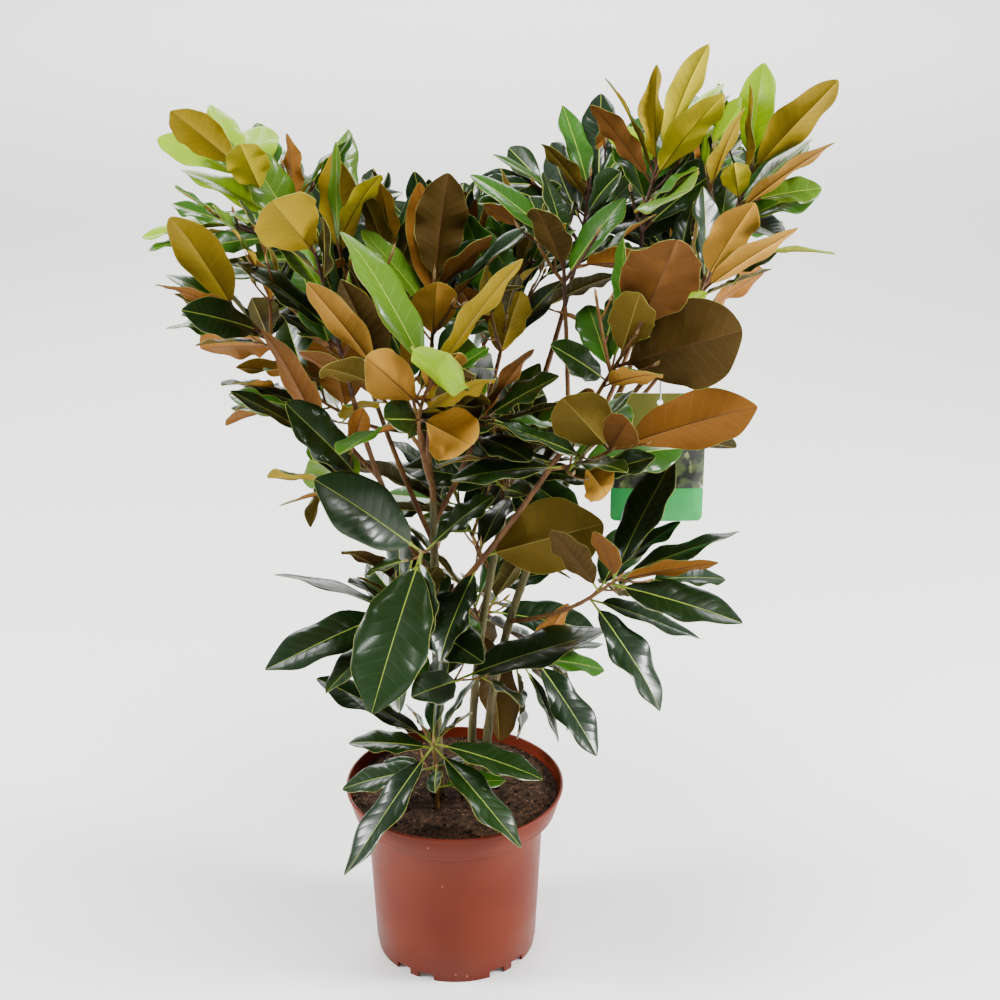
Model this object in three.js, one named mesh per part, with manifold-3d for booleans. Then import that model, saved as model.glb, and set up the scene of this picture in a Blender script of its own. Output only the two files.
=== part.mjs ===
// A young evergreen tree with large leathery leaves, in a round plastic nursery pot.
// Millimetres, +Z up, front towards -Y; the pot stands on Z = 0 with its axis through the origin.
import * as THREE from "three";
import { mergeVertices } from "three/addons/utils/BufferGeometryUtils.js";
import Module from "manifold-3d";

const wasm = await Module();
wasm.setup();
const { Manifold } = wasm;

const UP = new THREE.Vector3(0, 0, 1);
const GAP = 0.3; // clear space between two solids that belong together
const WELD = 1e-3; // vertices nearer than this are one vertex

// ---------------------------------------------------------------- pot and soil

const POT = {
  height: 205,
  rimRadius: 120,
  lipRound: 1.2,
  collarRadius: 112.5, // where the wide collar begins
  collarBottom: 176,
  bodyRadius: 98, // top of the plain body, under the collar
  bodyTop: 172,
  baseRadius: 90,
  wall: 3,
  floor: 3,
  footHeight: 8, // the floor stands this far off the ground
  footWidth: 4,
  hubRadius: 28, // flat round foot in the middle of the underside
  sides: 48,
};

// The ring foot is cut into wide feet and narrow ribs, with a gap on each side of every rib.
const FEET = { repeats: 5, firstAngle: -84.6, gapOffset: 26.5, gapWidth: 12 };

const SOIL = {
  seat: 196.7, // height of the flat middle
  seatRadius: 70,
  edgeHeight: 194,
};

const GROUND = SOIL.seat + GAP; // every stem's foot

// ---------------------------------------------------------------- limbs

// Each limb is one tapering curve. A stem with `start` stands on the soil. Any other grows on
// limb `on`, at fraction `at` of its length (1 is its tip), up to `tip`. `bow` bends it outward
// and down from the straight line, `radius` runs from foot to tip.
const LIMBS = {
  trunk: { start: [-18, -8, GROUND], tip: [-19, -8, 545], radius: [5.8, 3.8], flare: 2.6 },
  stem_middle: { start: [18, 26, GROUND], tip: [92, 72, 640], radius: [5, 3.2], flare: 1.6 },
  stem_right: { start: [34, 10, GROUND], tip: [165, 20, 640], radius: [5.2, 3.4], flare: 1.6 },
  bough_left: { on: "trunk", at: 0.735, tip: [-95, -60, 680], bow: 22, radius: [3.3, 2.6] },
  bough_left_far: { on: "bough_left", at: 0.62, tip: [-160, -30, 705], bow: 10, radius: [2.5, 2.1] },
  bough_left_top: { on: "trunk", at: 1, tip: [-112, 10, 765], radius: [3.2, 2.4] },
  bough_left_back: { on: "trunk", at: 0.86, tip: [-105, 105, 690], bow: 18, radius: [3, 2.4] },
  bough_centre: { on: "bough_left_top", at: 0.22, tip: [-18, -30, 705], bow: 0, radius: [2.8, 2.3] },
  bough_front: { on: "bough_left_top", at: 0.1, tip: [-28, -95, 650], bow: 12, radius: [2.8, 2.3] },
  bough_inner: { on: "trunk", at: 0.93, tip: [44, 14, 672], bow: 14, radius: [3, 2.3] },
  bough_right: { on: "trunk", at: 0.63, tip: [140, -88, 684], bow: 14, radius: [3.4, 2.5] },
  bough_right_inner: { on: "bough_right", at: 0.84, tip: [113, -50, 768], bow: -10, radius: [2.4, 2.1] },
  bough_inner_top: { on: "stem_middle", at: 1, tip: [128, 85, 770], radius: [3.1, 2.3] },
  bough_back: { on: "stem_middle", at: 0.72, tip: [30, 140, 690], bow: 16, radius: [2.9, 2.3] },
  bough_right_top: { on: "stem_right", at: 1, tip: [190, 12, 800], radius: [3.2, 2.3] },
  bough_right_far: { on: "stem_right", at: 0.93, tip: [250, -8, 775], bow: 18, radius: [2.9, 2.3] },
  bough_right_back: { on: "stem_right", at: 0.82, tip: [205, 112, 725], bow: 16, radius: [2.8, 2.2] },
  bough_right_side: { on: "stem_right", at: 0.88, tip: [240, 42, 705], bow: 14, radius: [2.3, 2] },
  bough_low: { on: "stem_right", at: 0.45, tip: [130, -66, 455], bow: 8, radius: [2.6, 2.2] },
};

const LIMB_MESH = { stemSides: 8, stemSteps: 10, boughSides: 6, boughSteps: 6, flareLength: 0.12 };

// How strongly a bough that leaves a side, or one that carries on from a tip, bends.
const BEND = { side: 0.7, onward: 0.4, ground: 0.5 };

// ---------------------------------------------------------------- masses of leaves

// Every mass grows from one stem that reaches from its limb to `tip`. `leaves` leaves stand round
// that stem and a few more on each of its `twigs`; `size` is their usual length, `turn` the
// bearing of the first, and they lean from `low` degrees off the stem to `top` at its end.
// `leading` lists the leaves that give the mass its outline, as
// [place along the stem, bearing, rise, roll (degrees), length, width].
const MASSES = [
  {
    name: "centre_front", on: "bough_front", at: 1, tip: [-12, -168, 735],
    leaves: 12, size: 128, turn: 250, low: 60, top: 16, twigs: 1,
    leading: [
      [0.95, 140, 50, 0, 165, 56],
      [0.97, -75, 35, 130, 92, 62],
      [0.93, -10, 55, -30, 150, 40],
      [0.8, 45, 15, -10, 85, 30],
      [0.55, -120, 40, 60, 115, 46],
      [0.35, -55, 0, -120, 88, 56],
      [0.3, -110, 20, -70, 90, 40],
    ],
  },
  {
    name: "low_front", on: "trunk", at: 0.865, tip: [-30, -66, 514],
    leaves: 2, size: 150, turn: 170, low: 110, top: 80, twigs: 0,
    leading: [
      [0.9, -110, -40, -10, 178, 76],
      [1, -156, 42, -70, 146, 64],
      [0.6, 20, 35, 0, 90, 40],
    ],
  },
  {
    name: "left_top", on: "bough_left_top", at: 1, tip: [-206, 30, 886],
    leaves: 13, size: 118, turn: 200, low: 48, top: 14, twigs: 2,
    leading: [
      [0.98, -130, 40, 60, 112, 40],
      [0.9, 150, 15, -20, 120, 38],
      [0.6, 155, 20, -20, 125, 36],
      [1, 115, 30, 10, 92, 38],
      [0.95, 85, 25, 20, 92, 46],
      [0.8, -100, 45, 30, 90, 42],
      [0.4, 160, 65, -20, 112, 50],
    ],
  },
  {
    name: "left_front", on: "bough_left", at: 1, tip: [-120, -120, 842],
    leaves: 12, size: 122, turn: 150, low: 62, top: 16, twigs: 2,
    leading: [
      [0.98, -110, 40, 50, 108, 62],
      [0.45, 175, 40, -20, 118, 44],
    ],
  },
  {
    name: "left_far", on: "bough_left_far", at: 1, tip: [-212, -20, 752],
    leaves: 11, size: 122, turn: 120, low: 60, top: 16, twigs: 1,
    leading: [
      [0.95, -145, 60, 50, 128, 50],
      [0.85, -140, 30, 30, 112, 34],
      [0.6, -125, 25, -60, 118, 40],
      [0.5, 105, 5, 150, 105, 44],
      [1, 130, 5, -20, 62, 22],
    ],
  },
  {
    name: "left_upper", on: "bough_left_top", at: 0.85, tip: [-112, 25, 815],
    leaves: 11, size: 118, turn: 20, low: 50, top: 12, twigs: 1,
    leading: [
      [0.75, 135, 85, 120, 108, 50],
      [0.95, -45, 51, 10, 105, 36],
      [0.8, 114, 92, -80, 118, 24],
    ],
  },
  {
    name: "centre_left", on: "bough_left_top", at: 0.55, tip: [-62, 55, 800],
    leaves: 13, size: 112, turn: 100, low: 50, top: 12, twigs: 2,
    leading: [
      [0.9, -110, 75, -30, 92, 34],
      [0.8, -165, 80, 30, 96, 32],
      [0.7, 70, 60, -30, 106, 36],
    ],
  },
  {
    name: "left_mid", on: "bough_front", at: 0.8, tip: [-66, -145, 745],
    leaves: 11, size: 125, turn: 240, low: 60, top: 16, twigs: 1,
    leading: [
      [0.75, -177, 70, 60, 112, 50],
      [0.85, -160, 55, 40, 118, 40],
    ],
  },
  {
    name: "left_low", on: "bough_left", at: 0.5, tip: [-132, -85, 650],
    leaves: 4, size: 130, turn: 160, low: 80, top: 40, twigs: 0,
    leading: [
      [0.8, 155, 60, 80, 135, 46],
      [0.85, 175, 30, 0, 105, 30],
      [0.35, -145, 50, -60, 130, 50],
      [0.25, 160, -20, 30, 108, 28],
    ],
  },
  {
    name: "left_back", on: "bough_left_back", at: 1, tip: [-155, 160, 810],
    leaves: 14, size: 120, turn: 60, low: 65, top: 16, twigs: 2, leading: [],
  },
  {
    name: "left_back_low", on: "bough_left_back", at: 0.55, tip: [-150, 60, 640],
    leaves: 8, size: 135, turn: 180, low: 85, top: 45, twigs: 0, leading: [],
  },
  {
    name: "centre_top", on: "bough_centre", at: 1, tip: [-14, -30, 790],
    leaves: 11, size: 118, turn: 75, low: 55, top: 10, twigs: 1,
    leading: [
      [0.9, 60, 75, -130, 112, 52],
      [0.7, 115, 75, 160, 122, 36],
      [0.85, -25, 45, -30, 90, 34],
      [0.6, 155, 45, 0, 110, 44],
      [0.3, -80, 55, -10, 80, 46],
    ],
  },
  {
    name: "centre_back", on: "bough_back", at: 1, tip: [5, 175, 752],
    leaves: 14, size: 120, turn: 10, low: 60, top: 16, twigs: 3, leading: [],
  },
  {
    name: "inner", on: "bough_inner", at: 1, tip: [62, 10, 775],
    leaves: 14, size: 118, turn: 40, low: 55, top: 14, twigs: 2,
    leading: [
      [0.8, 10, 70, -40, 106, 36],
      [0.3, 45, 32, 0, 110, 36],
      [0.2, -40, 70, -30, 85, 44],
      [0.1, -110, 20, -80, 90, 36],
    ],
  },
  {
    name: "centre_mid", on: "bough_inner", at: 0.55, tip: [32, -48, 652],
    leaves: 10, size: 108, turn: 300, low: 70, top: 25, twigs: 1,
    leading: [
      [0.9, -20, 35, 20, 100, 46],
      [0.5, -60, 5, 10, 105, 42],
    ],
  },
  {
    name: "inner_low", on: "stem_middle", at: 0.74, tip: [58, 8, 590],
    leaves: 11, size: 112, turn: 190, low: 80, top: 35, twigs: 1,
    leading: [
      [0.9, -132, 14, 10, 110, 44],
      [0.7, -30, 5, -10, 105, 42],
    ],
  },
  {
    name: "right_front", on: "bough_right", at: 1, tip: [176, -146, 772],
    leaves: 12, size: 128, turn: 280, low: 62, top: 16, twigs: 2,
    leading: [
      [0.98, -60, 60, -40, 118, 74],
      [0.9, 55, 30, -10, 105, 42],
      [0.75, 30, 25, 10, 100, 34],
      [0.5, -30, 25, -90, 150, 84],
      [0.62, -80, 51, -20, 108, 44],
      [0.2, -50, 30, -40, 125, 38],
      [0.4, 100, 20, -10, 112, 40],
      [0.3, -135, 35, -80, 95, 34],
    ],
  },
  {
    name: "right_mid", on: "bough_right", at: 0.72, tip: [158, -122, 648],
    leaves: 4, size: 120, turn: 5, low: 75, top: 35, twigs: 1,
    leading: [
      [0.95, -155, 50, 70, 80, 60],
      [0.9, -70, 45, -40, 70, 40],
      [0.98, -25, 25, -70, 158, 60],
      [0.5, -80, 5, -130, 98, 40],
      [0.3, -65, 10, 10, 120, 34],
      [0.6, 175, 20, -10, 105, 42],
      [0.2, 187, -4, -10, 112, 46],
    ],
  },
  {
    name: "right_inner", on: "bough_right_inner", at: 1, tip: [110, -68, 845],
    leaves: 13, size: 115, turn: 150, low: 55, top: 12, twigs: 2,
    leading: [
      [0.35, 40, 35, -10, 112, 38],
      [0.8, 160, 35, -10, 115, 38],
      [0.85, 105, 35, 30, 92, 36],
      [0.5, -115, 50, 0, 105, 40],
    ],
  },
  {
    name: "inner_top", on: "bough_inner_top", at: 1, tip: [142, 92, 862],
    leaves: 12, size: 115, turn: 190, low: 55, top: 14, twigs: 2,
    leading: [
      [0.85, 120, 55, 10, 95, 38],
      [0.75, -145, 50, 10, 90, 36],
      [0.6, -175, 35, -10, 116, 24],
    ],
  },
  {
    name: "right_top", on: "bough_right_top", at: 1, tip: [204, -2, 900],
    leaves: 13, size: 122, turn: 10, low: 55, top: 10, twigs: 1,
    leading: [
      [1, -10, 70, -40, 120, 36],
      [0.97, 25, 45, 10, 100, 44],
      [0.8, -45, 50, -30, 128, 42],
      [0.92, -50, 92, 20, 100, 50],
      [0.85, 160, 62, 30, 106, 30],
      [0.78, 175, 60, 50, 98, 34],
      [0.95, 130, 15, -20, 82, 32],
      [0.55, 105, 35, 20, 100, 42],
    ],
  },
  {
    name: "right_far_top", on: "bough_right_far", at: 1, tip: [296, 18, 890],
    leaves: 12, size: 118, turn: 330, low: 50, top: 12, twigs: 1,
    leading: [
      [0.98, 70, 70, -20, 102, 40],
      [0.92, -20, 50, -50, 128, 48],
      [0.65, -25, 40, -30, 125, 32],
      [0.8, 95, 92, 90, 108, 34],
      [0.75, -105, 45, 10, 70, 30],
    ],
  },
  {
    name: "right_far_mid", on: "bough_right_far", at: 0.75, tip: [246, -72, 805],
    leaves: 11, size: 122, turn: 300, low: 55, top: 16, twigs: 1,
    leading: [
      [0.9, -35, 60, -40, 98, 46],
      [0.75, -30, 38, -40, 122, 40],
      [0.85, 90, 60, 50, 95, 40],
      [0.6, 77, 25, -50, 110, 40],
    ],
  },
  {
    name: "right_back", on: "bough_right_back", at: 1, tip: [240, 158, 835],
    leaves: 14, size: 120, turn: 30, low: 62, top: 16, twigs: 2, leading: [],
  },
  {
    name: "right_side", on: "bough_right_side", at: 1, tip: [254, 72, 778],
    leaves: 8, size: 108, turn: 20, low: 60, top: 20, twigs: 1, leading: [],
  },
  {
    name: "right_low", on: "bough_low", at: 1, tip: [168, -92, 496],
    leaves: 4, size: 125, turn: 330, low: 80, top: 25, twigs: 0,
    leading: [
      [0.95, -135, 65, 10, 70, 34],
      [0.9, 45, 50, -10, 140, 54],
      [0.98, 5, 20, 10, 132, 42],
      [0.92, -27, 21, -50, 118, 30],
      [0.85, -30, -3, 30, 145, 50],
      [0.6, -170, 55, 60, 88, 38],
      [0.35, -40, -45, 10, 135, 52],
    ],
  },
  {
    name: "right_leaf", on: "bough_right", at: 0.22, tip: [30, -22, 490],
    leaves: 4, size: 120, turn: 30, low: 90, top: 70, twigs: 0,
    leading: [
      [0.6, -115, -35, 10, 118, 44],
      [0.95, -35, 25, -100, 150, 80],
    ],
  },
  {
    name: "low_left", on: "trunk", at: 0.56, tip: [-62, 0, 415],
    leaves: 5, size: 135, turn: 60, low: 90, top: 50, twigs: 1,
    leading: [
      [0.98, -155, -15, -20, 152, 62],
      [0.6, -135, -10, 0, 125, 46],
      [0.9, 170, 15, 10, 140, 40],
    ],
  },
  {
    name: "low_middle", on: "trunk", at: 0.42, tip: [8, -38, 352],
    leaves: 6, size: 125, turn: 20, low: 90, top: 55, twigs: 0,
    leading: [
      [0.8, 5, 25, 10, 168, 74],
      [0.4, 90, -5, 0, 90, 40],
      [0.95, -120, 15, -50, 95, 40],
    ],
  },
  {
    name: "low_back", on: "stem_middle", at: 0.4, tip: [20, 90, 385],
    leaves: 9, size: 145, turn: 100, low: 90, top: 50, twigs: 1, leading: [],
  },
  {
    name: "low_right", on: "stem_right", at: 0.32, tip: [88, 30, 345],
    leaves: 6, size: 130, turn: 60, low: 90, top: 55, twigs: 0,
    leading: [
      [0.95, -40, -45, 10, 128, 48],
      [0.6, -50, -50, -30, 95, 30],
      [0.8, 25, -20, 10, 100, 40],
    ],
  },
  {
    name: "back_mid", on: "stem_middle", at: 0.55, tip: [0, 120, 500],
    leaves: 12, size: 140, turn: 120, low: 85, top: 45, twigs: 1, leading: [],
  },
  {
    name: "sprout", start: [-18, -44, GROUND], tip: [-21, -52, 284],
    leaves: 5, size: 80, turn: 60, low: 80, top: 50, twigs: 0,
    leading: [
      [0.9, -180, 5, -10, 92, 40],
      [0.95, -135, -40, 0, 165, 48],
      [0.98, -10, -15, 10, 122, 44],
      [0.93, -30, -35, 10, 142, 44],
      [0.6, 175, -25, -10, 108, 44],
      [0.95, 65, 77, -40, 102, 42], [0.97, 165, 25, 10, 144, 50],
      [0.93, 35, 48, -30, 96, 34],
      [0.8, 122, 30, 60, 70, 30],
    ],
  },
];

// The stem of a mass and its side twigs.
const TWIG = {
  sides: 3,
  stemSteps: 6,
  steps: 4,
  stemRadius: [2.3, 1.6],
  radius: [2, 1.4],
  bow: 8,
  from: 0.2, // side twigs start in this part of the stem
  spread: 0.3,
  turn: 200,
  turnStep: 140,
  turnSpread: 40,
  length: 0.55, // of the stem's own length
  lengthSpread: 0.2,
  lift: 0.5,
  leaves: 5,
  leafTurn: 90,
  leafScale: 0.9,
  firstLeaf: 0.35,
  clear: 6, // to any other limb
  rootPart: 0.3,
};

// The rule that sets the leaves round a stem.
const RULE = {
  seed: 100,
  golden: 137.5,
  firstLeaf: 0.3,
  crowding: 0.75, // leaves sit closer towards the tip
  leanPower: 1.2,
  turnSpread: 24,
  leanSpread: 16,
  basalSize: 1.06,
  sizeLoss: 0.3,
  smallest: 0.88,
  sizeSpread: 0.24,
  width: 0.38, // of the length
  widthSpread: 0.1,
  sag: 0.16,
  rollSpread: 70,
  curl: 6,
  curlSpread: 20,
  fold: 8,
  foldSpread: 10,
  lowFrom: 700, // leaves below this height turn their faces up to the light
  lowOver: 200,
  lowUp: 1.2,
  up: 0.15,
  lowAxis: 0.6,
  inward: 0.75,
  crownAxis: [20, 0],
};

// A leaf that would touch something tries these changes of bearing, rise and size in turn.
const LEADING_TRIES = [
  [0, 0, 1], [8, 0, 1], [-8, 0, 1], [0, 8, 1], [0, -8, 1], [14, 6, 0.94], [-14, 6, 0.94],
  [14, -6, 0.94], [-14, -6, 0.94], [0, 14, 0.9], [20, 0, 0.88], [-20, 0, 0.88],
];
const RULE_TRIES = [
  [0, 0, 1], [18, -6, 1], [-18, 6, 1], [34, -12, 0.95], [-34, 12, 0.95], [10, -15, 0.82],
  [-10, 10, 0.75], [50, -10, 0.85], [-50, 10, 0.85], [25, -25, 0.8], [-25, -25, 0.8],
];

const LEAF = {
  petiole: 0.12, // part of the length that is stalk
  stalkWidth: 0.05, // of the leaf's width
  risePower: 0.72, // outline: u^rise (1 - u)^fall, widest at `widest`
  fallPower: 0.62,
  widest: 0.537,
  thickness: 0.017, // of the length, at the midrib
  leastThickness: 2,
  leadingCurl: 14,
  leadingFold: 12,
  leadingStations: [0.12, 0.42, 0.76],
  stations: [0.58],
};

// Spacing of the points at which a leaf is tested, and how clear of everything it stays.
const TEST = {
  rows: 14,
  columns: 7,
  from: 0.1,
  to: 0.98,
  half: 0.95,
  root: 0.3, // the part near its own stem that isn't tested against its kin
  limbStep: 5,
  limbClear: 6.5,
  ownStemClear: 2.5,
  leafClear: 6,
  ownLeafClear: 4,
  nearLimb: 14,
  rimClear: 7,
  rimOver: 5,
  soilOver: 4,
  labelClear: 7,
};

// The leading leaves draw the crown as it is seen from its front, looking `along`. On a grid of
// `cell` across, no more than `hides` of another leaf's points stand before them, and no more
// than `past` of its points stand out past them, so the crown's gaps stay open.
const FRONT = { along: new THREE.Vector3(0, 0.92, -0.392), cell: 12, hides: 0.12, past: 0.24 };

// ---------------------------------------------------------------- hang label

const LABEL = {
  on: "bough_right_far",
  at: 0.58,
  drop: 49, // from the bough's axis to the hole
  width: 96,
  height: 142,
  thickness: 1,
  corner: 6,
  holeRadius: 3,
  holeBelowTop: 10,
  cordRadius: 0.7,
  ringRadius: 4.4,
  ringOver: 7.6, // top of the loop's centre line over the bough's axis
  ringSides: 5,
  ringSteps: 16,
};

// ---------------------------------------------------------------- looks

const LOOK = {
  pot: { color: 0x9c4f3a, roughness: 0.45, metalness: 0 },
  soil: { color: 0x3a2c22, roughness: 0.95, metalness: 0 },
  bark: { color: 0x6b4a30, roughness: 0.75, metalness: 0 },
  leaf: { color: 0x2c4a1c, roughness: 0.35, metalness: 0 },
  youngLeaf: { color: 0x8fae3c, roughness: 0.4, metalness: 0 },
  label: { color: 0x3f9a55, roughness: 0.35, metalness: 0 },
  cord: { color: 0xe8e6e0, roughness: 0.6, metalness: 0 },
};

const YOUNG_MASSES = ["left_top", "right_top", "right_far_top"];

// ---------------------------------------------------------------- small helpers

const vector = (values) => new THREE.Vector3(...values);
const radians = THREE.MathUtils.degToRad;
const turned = (v, axis, degrees) => v.clone().applyAxisAngle(axis, radians(degrees));

// Same numbers in the same order for the same seed, between 0 and 1.
function chance(seed) {
  let state = Math.imul(seed + 1, 2654435761) >>> 0;
  const draw = () => {
    state = (Math.imul(state, 1664525) + 1013904223) >>> 0;
    return state / 4294967296;
  };
  for (let i = 0; i < 3; i += 1) draw();
  return draw;
}

function heading(curve, t) {
  const first = curve.v1.clone().sub(curve.v0).multiplyScalar(1 - t);
  const second = curve.v2.clone().sub(curve.v1).multiplyScalar(t);
  return first.add(second).normalize();
}

const span = (curve) => curve.v2.distanceTo(curve.v0);

// The direction square to `axis` that lies nearest to +X (or +Y where the axis runs along X).
function sideOf(axis) {
  const side = new THREE.Vector3(1, 0, 0).addScaledVector(axis, -axis.x);
  if (side.lengthSq() < 0.04) side.set(0, 1, 0).addScaledVector(axis, -axis.y);
  return side.normalize();
}

// ---------------------------------------------------------------- solids

function solidOf(geometry) {
  const bare = geometry.clone();
  bare.deleteAttribute("normal");
  bare.deleteAttribute("uv");
  const merged = mergeVertices(bare, WELD);
  const index = merged.index.array;
  const kept = [];
  for (let i = 0; i < index.length; i += 3) {
    const [a, b, c] = [index[i], index[i + 1], index[i + 2]];
    if (a !== b && b !== c && c !== a) kept.push(a, b, c);
  }
  return new Manifold(new wasm.Mesh({
    numProp: 3,
    vertProperties: Float32Array.from(merged.attributes.position.array),
    triVerts: Uint32Array.from(kept),
  }));
}

function geometryOf(solid) {
  const { vertProperties, triVerts } = solid.getMesh();
  const geometry = new THREE.BufferGeometry();
  const positions = new THREE.BufferAttribute(Float32Array.from(vertProperties), 3);
  geometry.setAttribute("position", positions);
  geometry.setIndex(new THREE.BufferAttribute(Uint32Array.from(triVerts), 1));
  return geometry;
}

// Drops loose scraps and fills sealed hollows, after welding what hangs on by a hair.
function largestPiece(solid) {
  const pieces = solidOf(geometryOf(solid)).decompose();
  return pieces.reduce((best, piece) => (piece.volume() > best.volume() ? piece : best));
}

function meshOf(name, solid, look) {
  const geometry = geometryOf(solid);
  geometry.computeVertexNormals();
  const mesh = new THREE.Mesh(geometry, new THREE.MeshStandardMaterial(look));
  mesh.name = name;
  return mesh;
}

// A closed round bar along a curve; `radiusAt` gives its radius at each fraction of the way.
function bar(curve, radiusAt, sides, steps) {
  const geometry = new THREE.CylinderGeometry(1, 1, 1, sides, steps);
  const position = geometry.attributes.position;
  for (let i = 0; i < position.count; i += 1) {
    const t = THREE.MathUtils.clamp(position.getY(i) + 0.5, 0, 1);
    const axis = heading(curve, t);
    const side = sideOf(axis);
    const across = side.clone().cross(axis);
    const point = curve.getPoint(t)
      .addScaledVector(side, position.getX(i) * radiusAt(t))
      .addScaledVector(across, position.getZ(i) * radiusAt(t));
    position.setXYZ(i, point.x, point.y, point.z);
  }
  return solidOf(geometry);
}

const taper = ([foot, tip]) => (t) => THREE.MathUtils.lerp(foot, tip, t);

// ---------------------------------------------------------------- skeleton

function curveOf(row, curves) {
  const tip = vector(row.tip);
  if (row.start) {
    const start = vector(row.start);
    const control = start.clone().addScaledVector(UP, BEND.ground * (tip.z - start.z));
    return new THREE.QuadraticBezierCurve3(start, control, tip);
  }
  const parent = curves.get(row.on);
  const start = parent.getPoint(row.at);
  if (row.at === 1) {
    const along = heading(parent, 1);
    start.addScaledVector(along, GAP);
    const control = start.clone().addScaledVector(along, BEND.onward * tip.distanceTo(start));
    return new THREE.QuadraticBezierCurve3(start, control, tip);
  }
  const outward = tip.clone().sub(start).setZ(0).normalize().sub(UP);
  const bow = row.bow ?? TWIG.bow;
  const control = start.clone().add(tip).multiplyScalar(0.5)
    .addScaledVector(outward, BEND.side * bow);
  return new THREE.QuadraticBezierCurve3(start, control, tip);
}

function limbRadius(row) {
  const plain = taper(row.radius);
  if (!row.flare) return plain;
  return (t) => plain(t) + row.flare * Math.max(0, 1 - t / LIMB_MESH.flareLength) ** 2;
}

function limbBar(row, curve, extra) {
  const sides = row.start ? LIMB_MESH.stemSides : LIMB_MESH.boughSides;
  const steps = row.start ? LIMB_MESH.stemSteps : LIMB_MESH.boughSteps;
  const radius = limbRadius(row);
  const grown = extra / Math.cos(Math.PI / sides);
  return bar(curve, (t) => radius(t) + grown, sides, steps);
}

function boxesMeet(a, b) {
  const [p, q] = [a.boundingBox(), b.boundingBox()];
  return p.min.every((low, i) => low <= q.max[i] && q.min[i] <= p.max[i]);
}

// Cuts every limb's grown copy out of the solid, so it seats GAP clear of each of them.
function seated(solid, limbs) {
  const near = limbs.filter((limb) => boxesMeet(solid, limb));
  return near.length ? largestPiece(solid.subtract(Manifold.union(near))) : solid;
}

// ---------------------------------------------------------------- leaves

function outline(s) {
  if (s <= LEAF.petiole) return LEAF.stalkWidth;
  const u = (s - LEAF.petiole) / (1 - LEAF.petiole);
  const shape = (x) => x ** LEAF.risePower * Math.max(0, 1 - x) ** LEAF.fallPower;
  return shape(u) / shape(LEAF.widest);
}

// A point of the blade: `s` runs from foot to tip, `w` from -1 to 1 across, `lift` off the face.
function leafPoint(leaf, s, w, lift) {
  const arc = radians(leaf.curl);
  const chord = leaf.length / (2 * Math.sin(arc / 2));
  const ahead = chord * (Math.sin(arc / 2) + Math.sin(arc * s - arc / 2));
  const raised = chord * (Math.cos(arc * s - arc / 2) - Math.cos(arc / 2));
  const tilt = arc * (0.5 - s);
  const face = leaf.face.clone().multiplyScalar(Math.cos(tilt))
    .addScaledVector(leaf.along, -Math.sin(tilt));
  const half = (leaf.width / 2) * outline(s);
  const fold = radians(leaf.fold);
  return leaf.base.clone()
    .addScaledVector(leaf.along, ahead)
    .addScaledVector(leaf.face, raised)
    .addScaledVector(leaf.side, w * half * Math.cos(fold))
    .addScaledVector(face, Math.abs(w) * half * Math.sin(fold) + lift);
}

// Each station is four points: left edge, right edge, and the midrib's top and underside.
function leafSolid(leaf) {
  const stations = leaf.leading ? LEAF.leadingStations : LEAF.stations;
  const half = Math.max(leaf.length * LEAF.thickness, LEAF.leastThickness) / 2;
  const points = [leafPoint(leaf, 0, 0, 0), leafPoint(leaf, 1, 0, 0)];
  for (const s of stations) {
    points.push(leafPoint(leaf, s, -1, 0), leafPoint(leaf, s, 1, 0));
    points.push(leafPoint(leaf, s, 0, half), leafPoint(leaf, s, 0, -half));
  }
  const station = (i) => [2 + 4 * i, 3 + 4 * i, 4 + 4 * i, 5 + 4 * i];
  const [foot, tip] = [0, 1];
  const [left, right, top, under] = station(0);
  const faces = [[foot, right, top], [foot, top, left], [foot, under, right], [foot, left, under]];
  for (let i = 0; i + 1 < stations.length; i += 1) {
    const [l, r, t, u] = station(i);
    const [l2, r2, t2, u2] = station(i + 1);
    faces.push([t, r, r2], [t, r2, t2], [t, t2, l2], [t, l2, l]);
    faces.push([u, r2, r], [u, u2, r2], [u, l2, u2], [u, l, l2]);
  }
  const [l, r, t, u] = station(stations.length - 1);
  faces.push([t, r, tip], [t, tip, l], [u, tip, r], [u, l, tip]);
  return new Manifold(new wasm.Mesh({
    numProp: 3,
    vertProperties: Float32Array.from(points.flatMap((p) => p.toArray())),
    triVerts: Uint32Array.from(faces.flat()),
  }));
}

const TEST_POINTS = [];
for (let i = 0; i < TEST.rows; i += 1) {
  for (let j = 0; j < TEST.columns; j += 1) {
    const s = TEST.from + ((TEST.to - TEST.from) * i) / (TEST.rows - 1);
    const w = TEST.half * ((2 * j) / (TEST.columns - 1) - 1);
    TEST_POINTS.push([s, w]);
  }
}
const ROOT_POINTS = TEST_POINTS.filter(([s]) => s < TEST.root).length;

function measured(leaf) {
  const points = TEST_POINTS.map(([s, w]) => leafPoint(leaf, s, w, 0));
  const centre = new THREE.Vector3();
  for (const point of points) centre.add(point);
  centre.divideScalar(points.length);
  const reach = Math.max(...points.map((point) => point.distanceTo(centre)));
  return { points, centre, reach };
}

// Cell and depth of a point in the front view.
function frontCell(point) {
  const { along, cell } = FRONT;
  const upward = point.y * -along.z + point.z * along.y;
  return [Math.floor(point.x / cell), Math.floor(upward / cell), point.dot(along)];
}

// How far back the leading leaves stand in each cell of the front view, and the cells beside.
function frontOf(placed) {
  const front = { depths: new Map(), beside: new Set() };
  for (const point of placed.flatMap((other) => other.points)) {
    const [i, j, depth] = frontCell(point);
    const key = `${i},${j}`;
    front.depths.set(key, Math.min(depth, front.depths.get(key) ?? depth));
    for (const k of [-1, 0, 1]) for (const m of [-1, 0, 1]) front.beside.add(`${i + k},${j + m}`);
  }
  return front;
}

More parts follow.
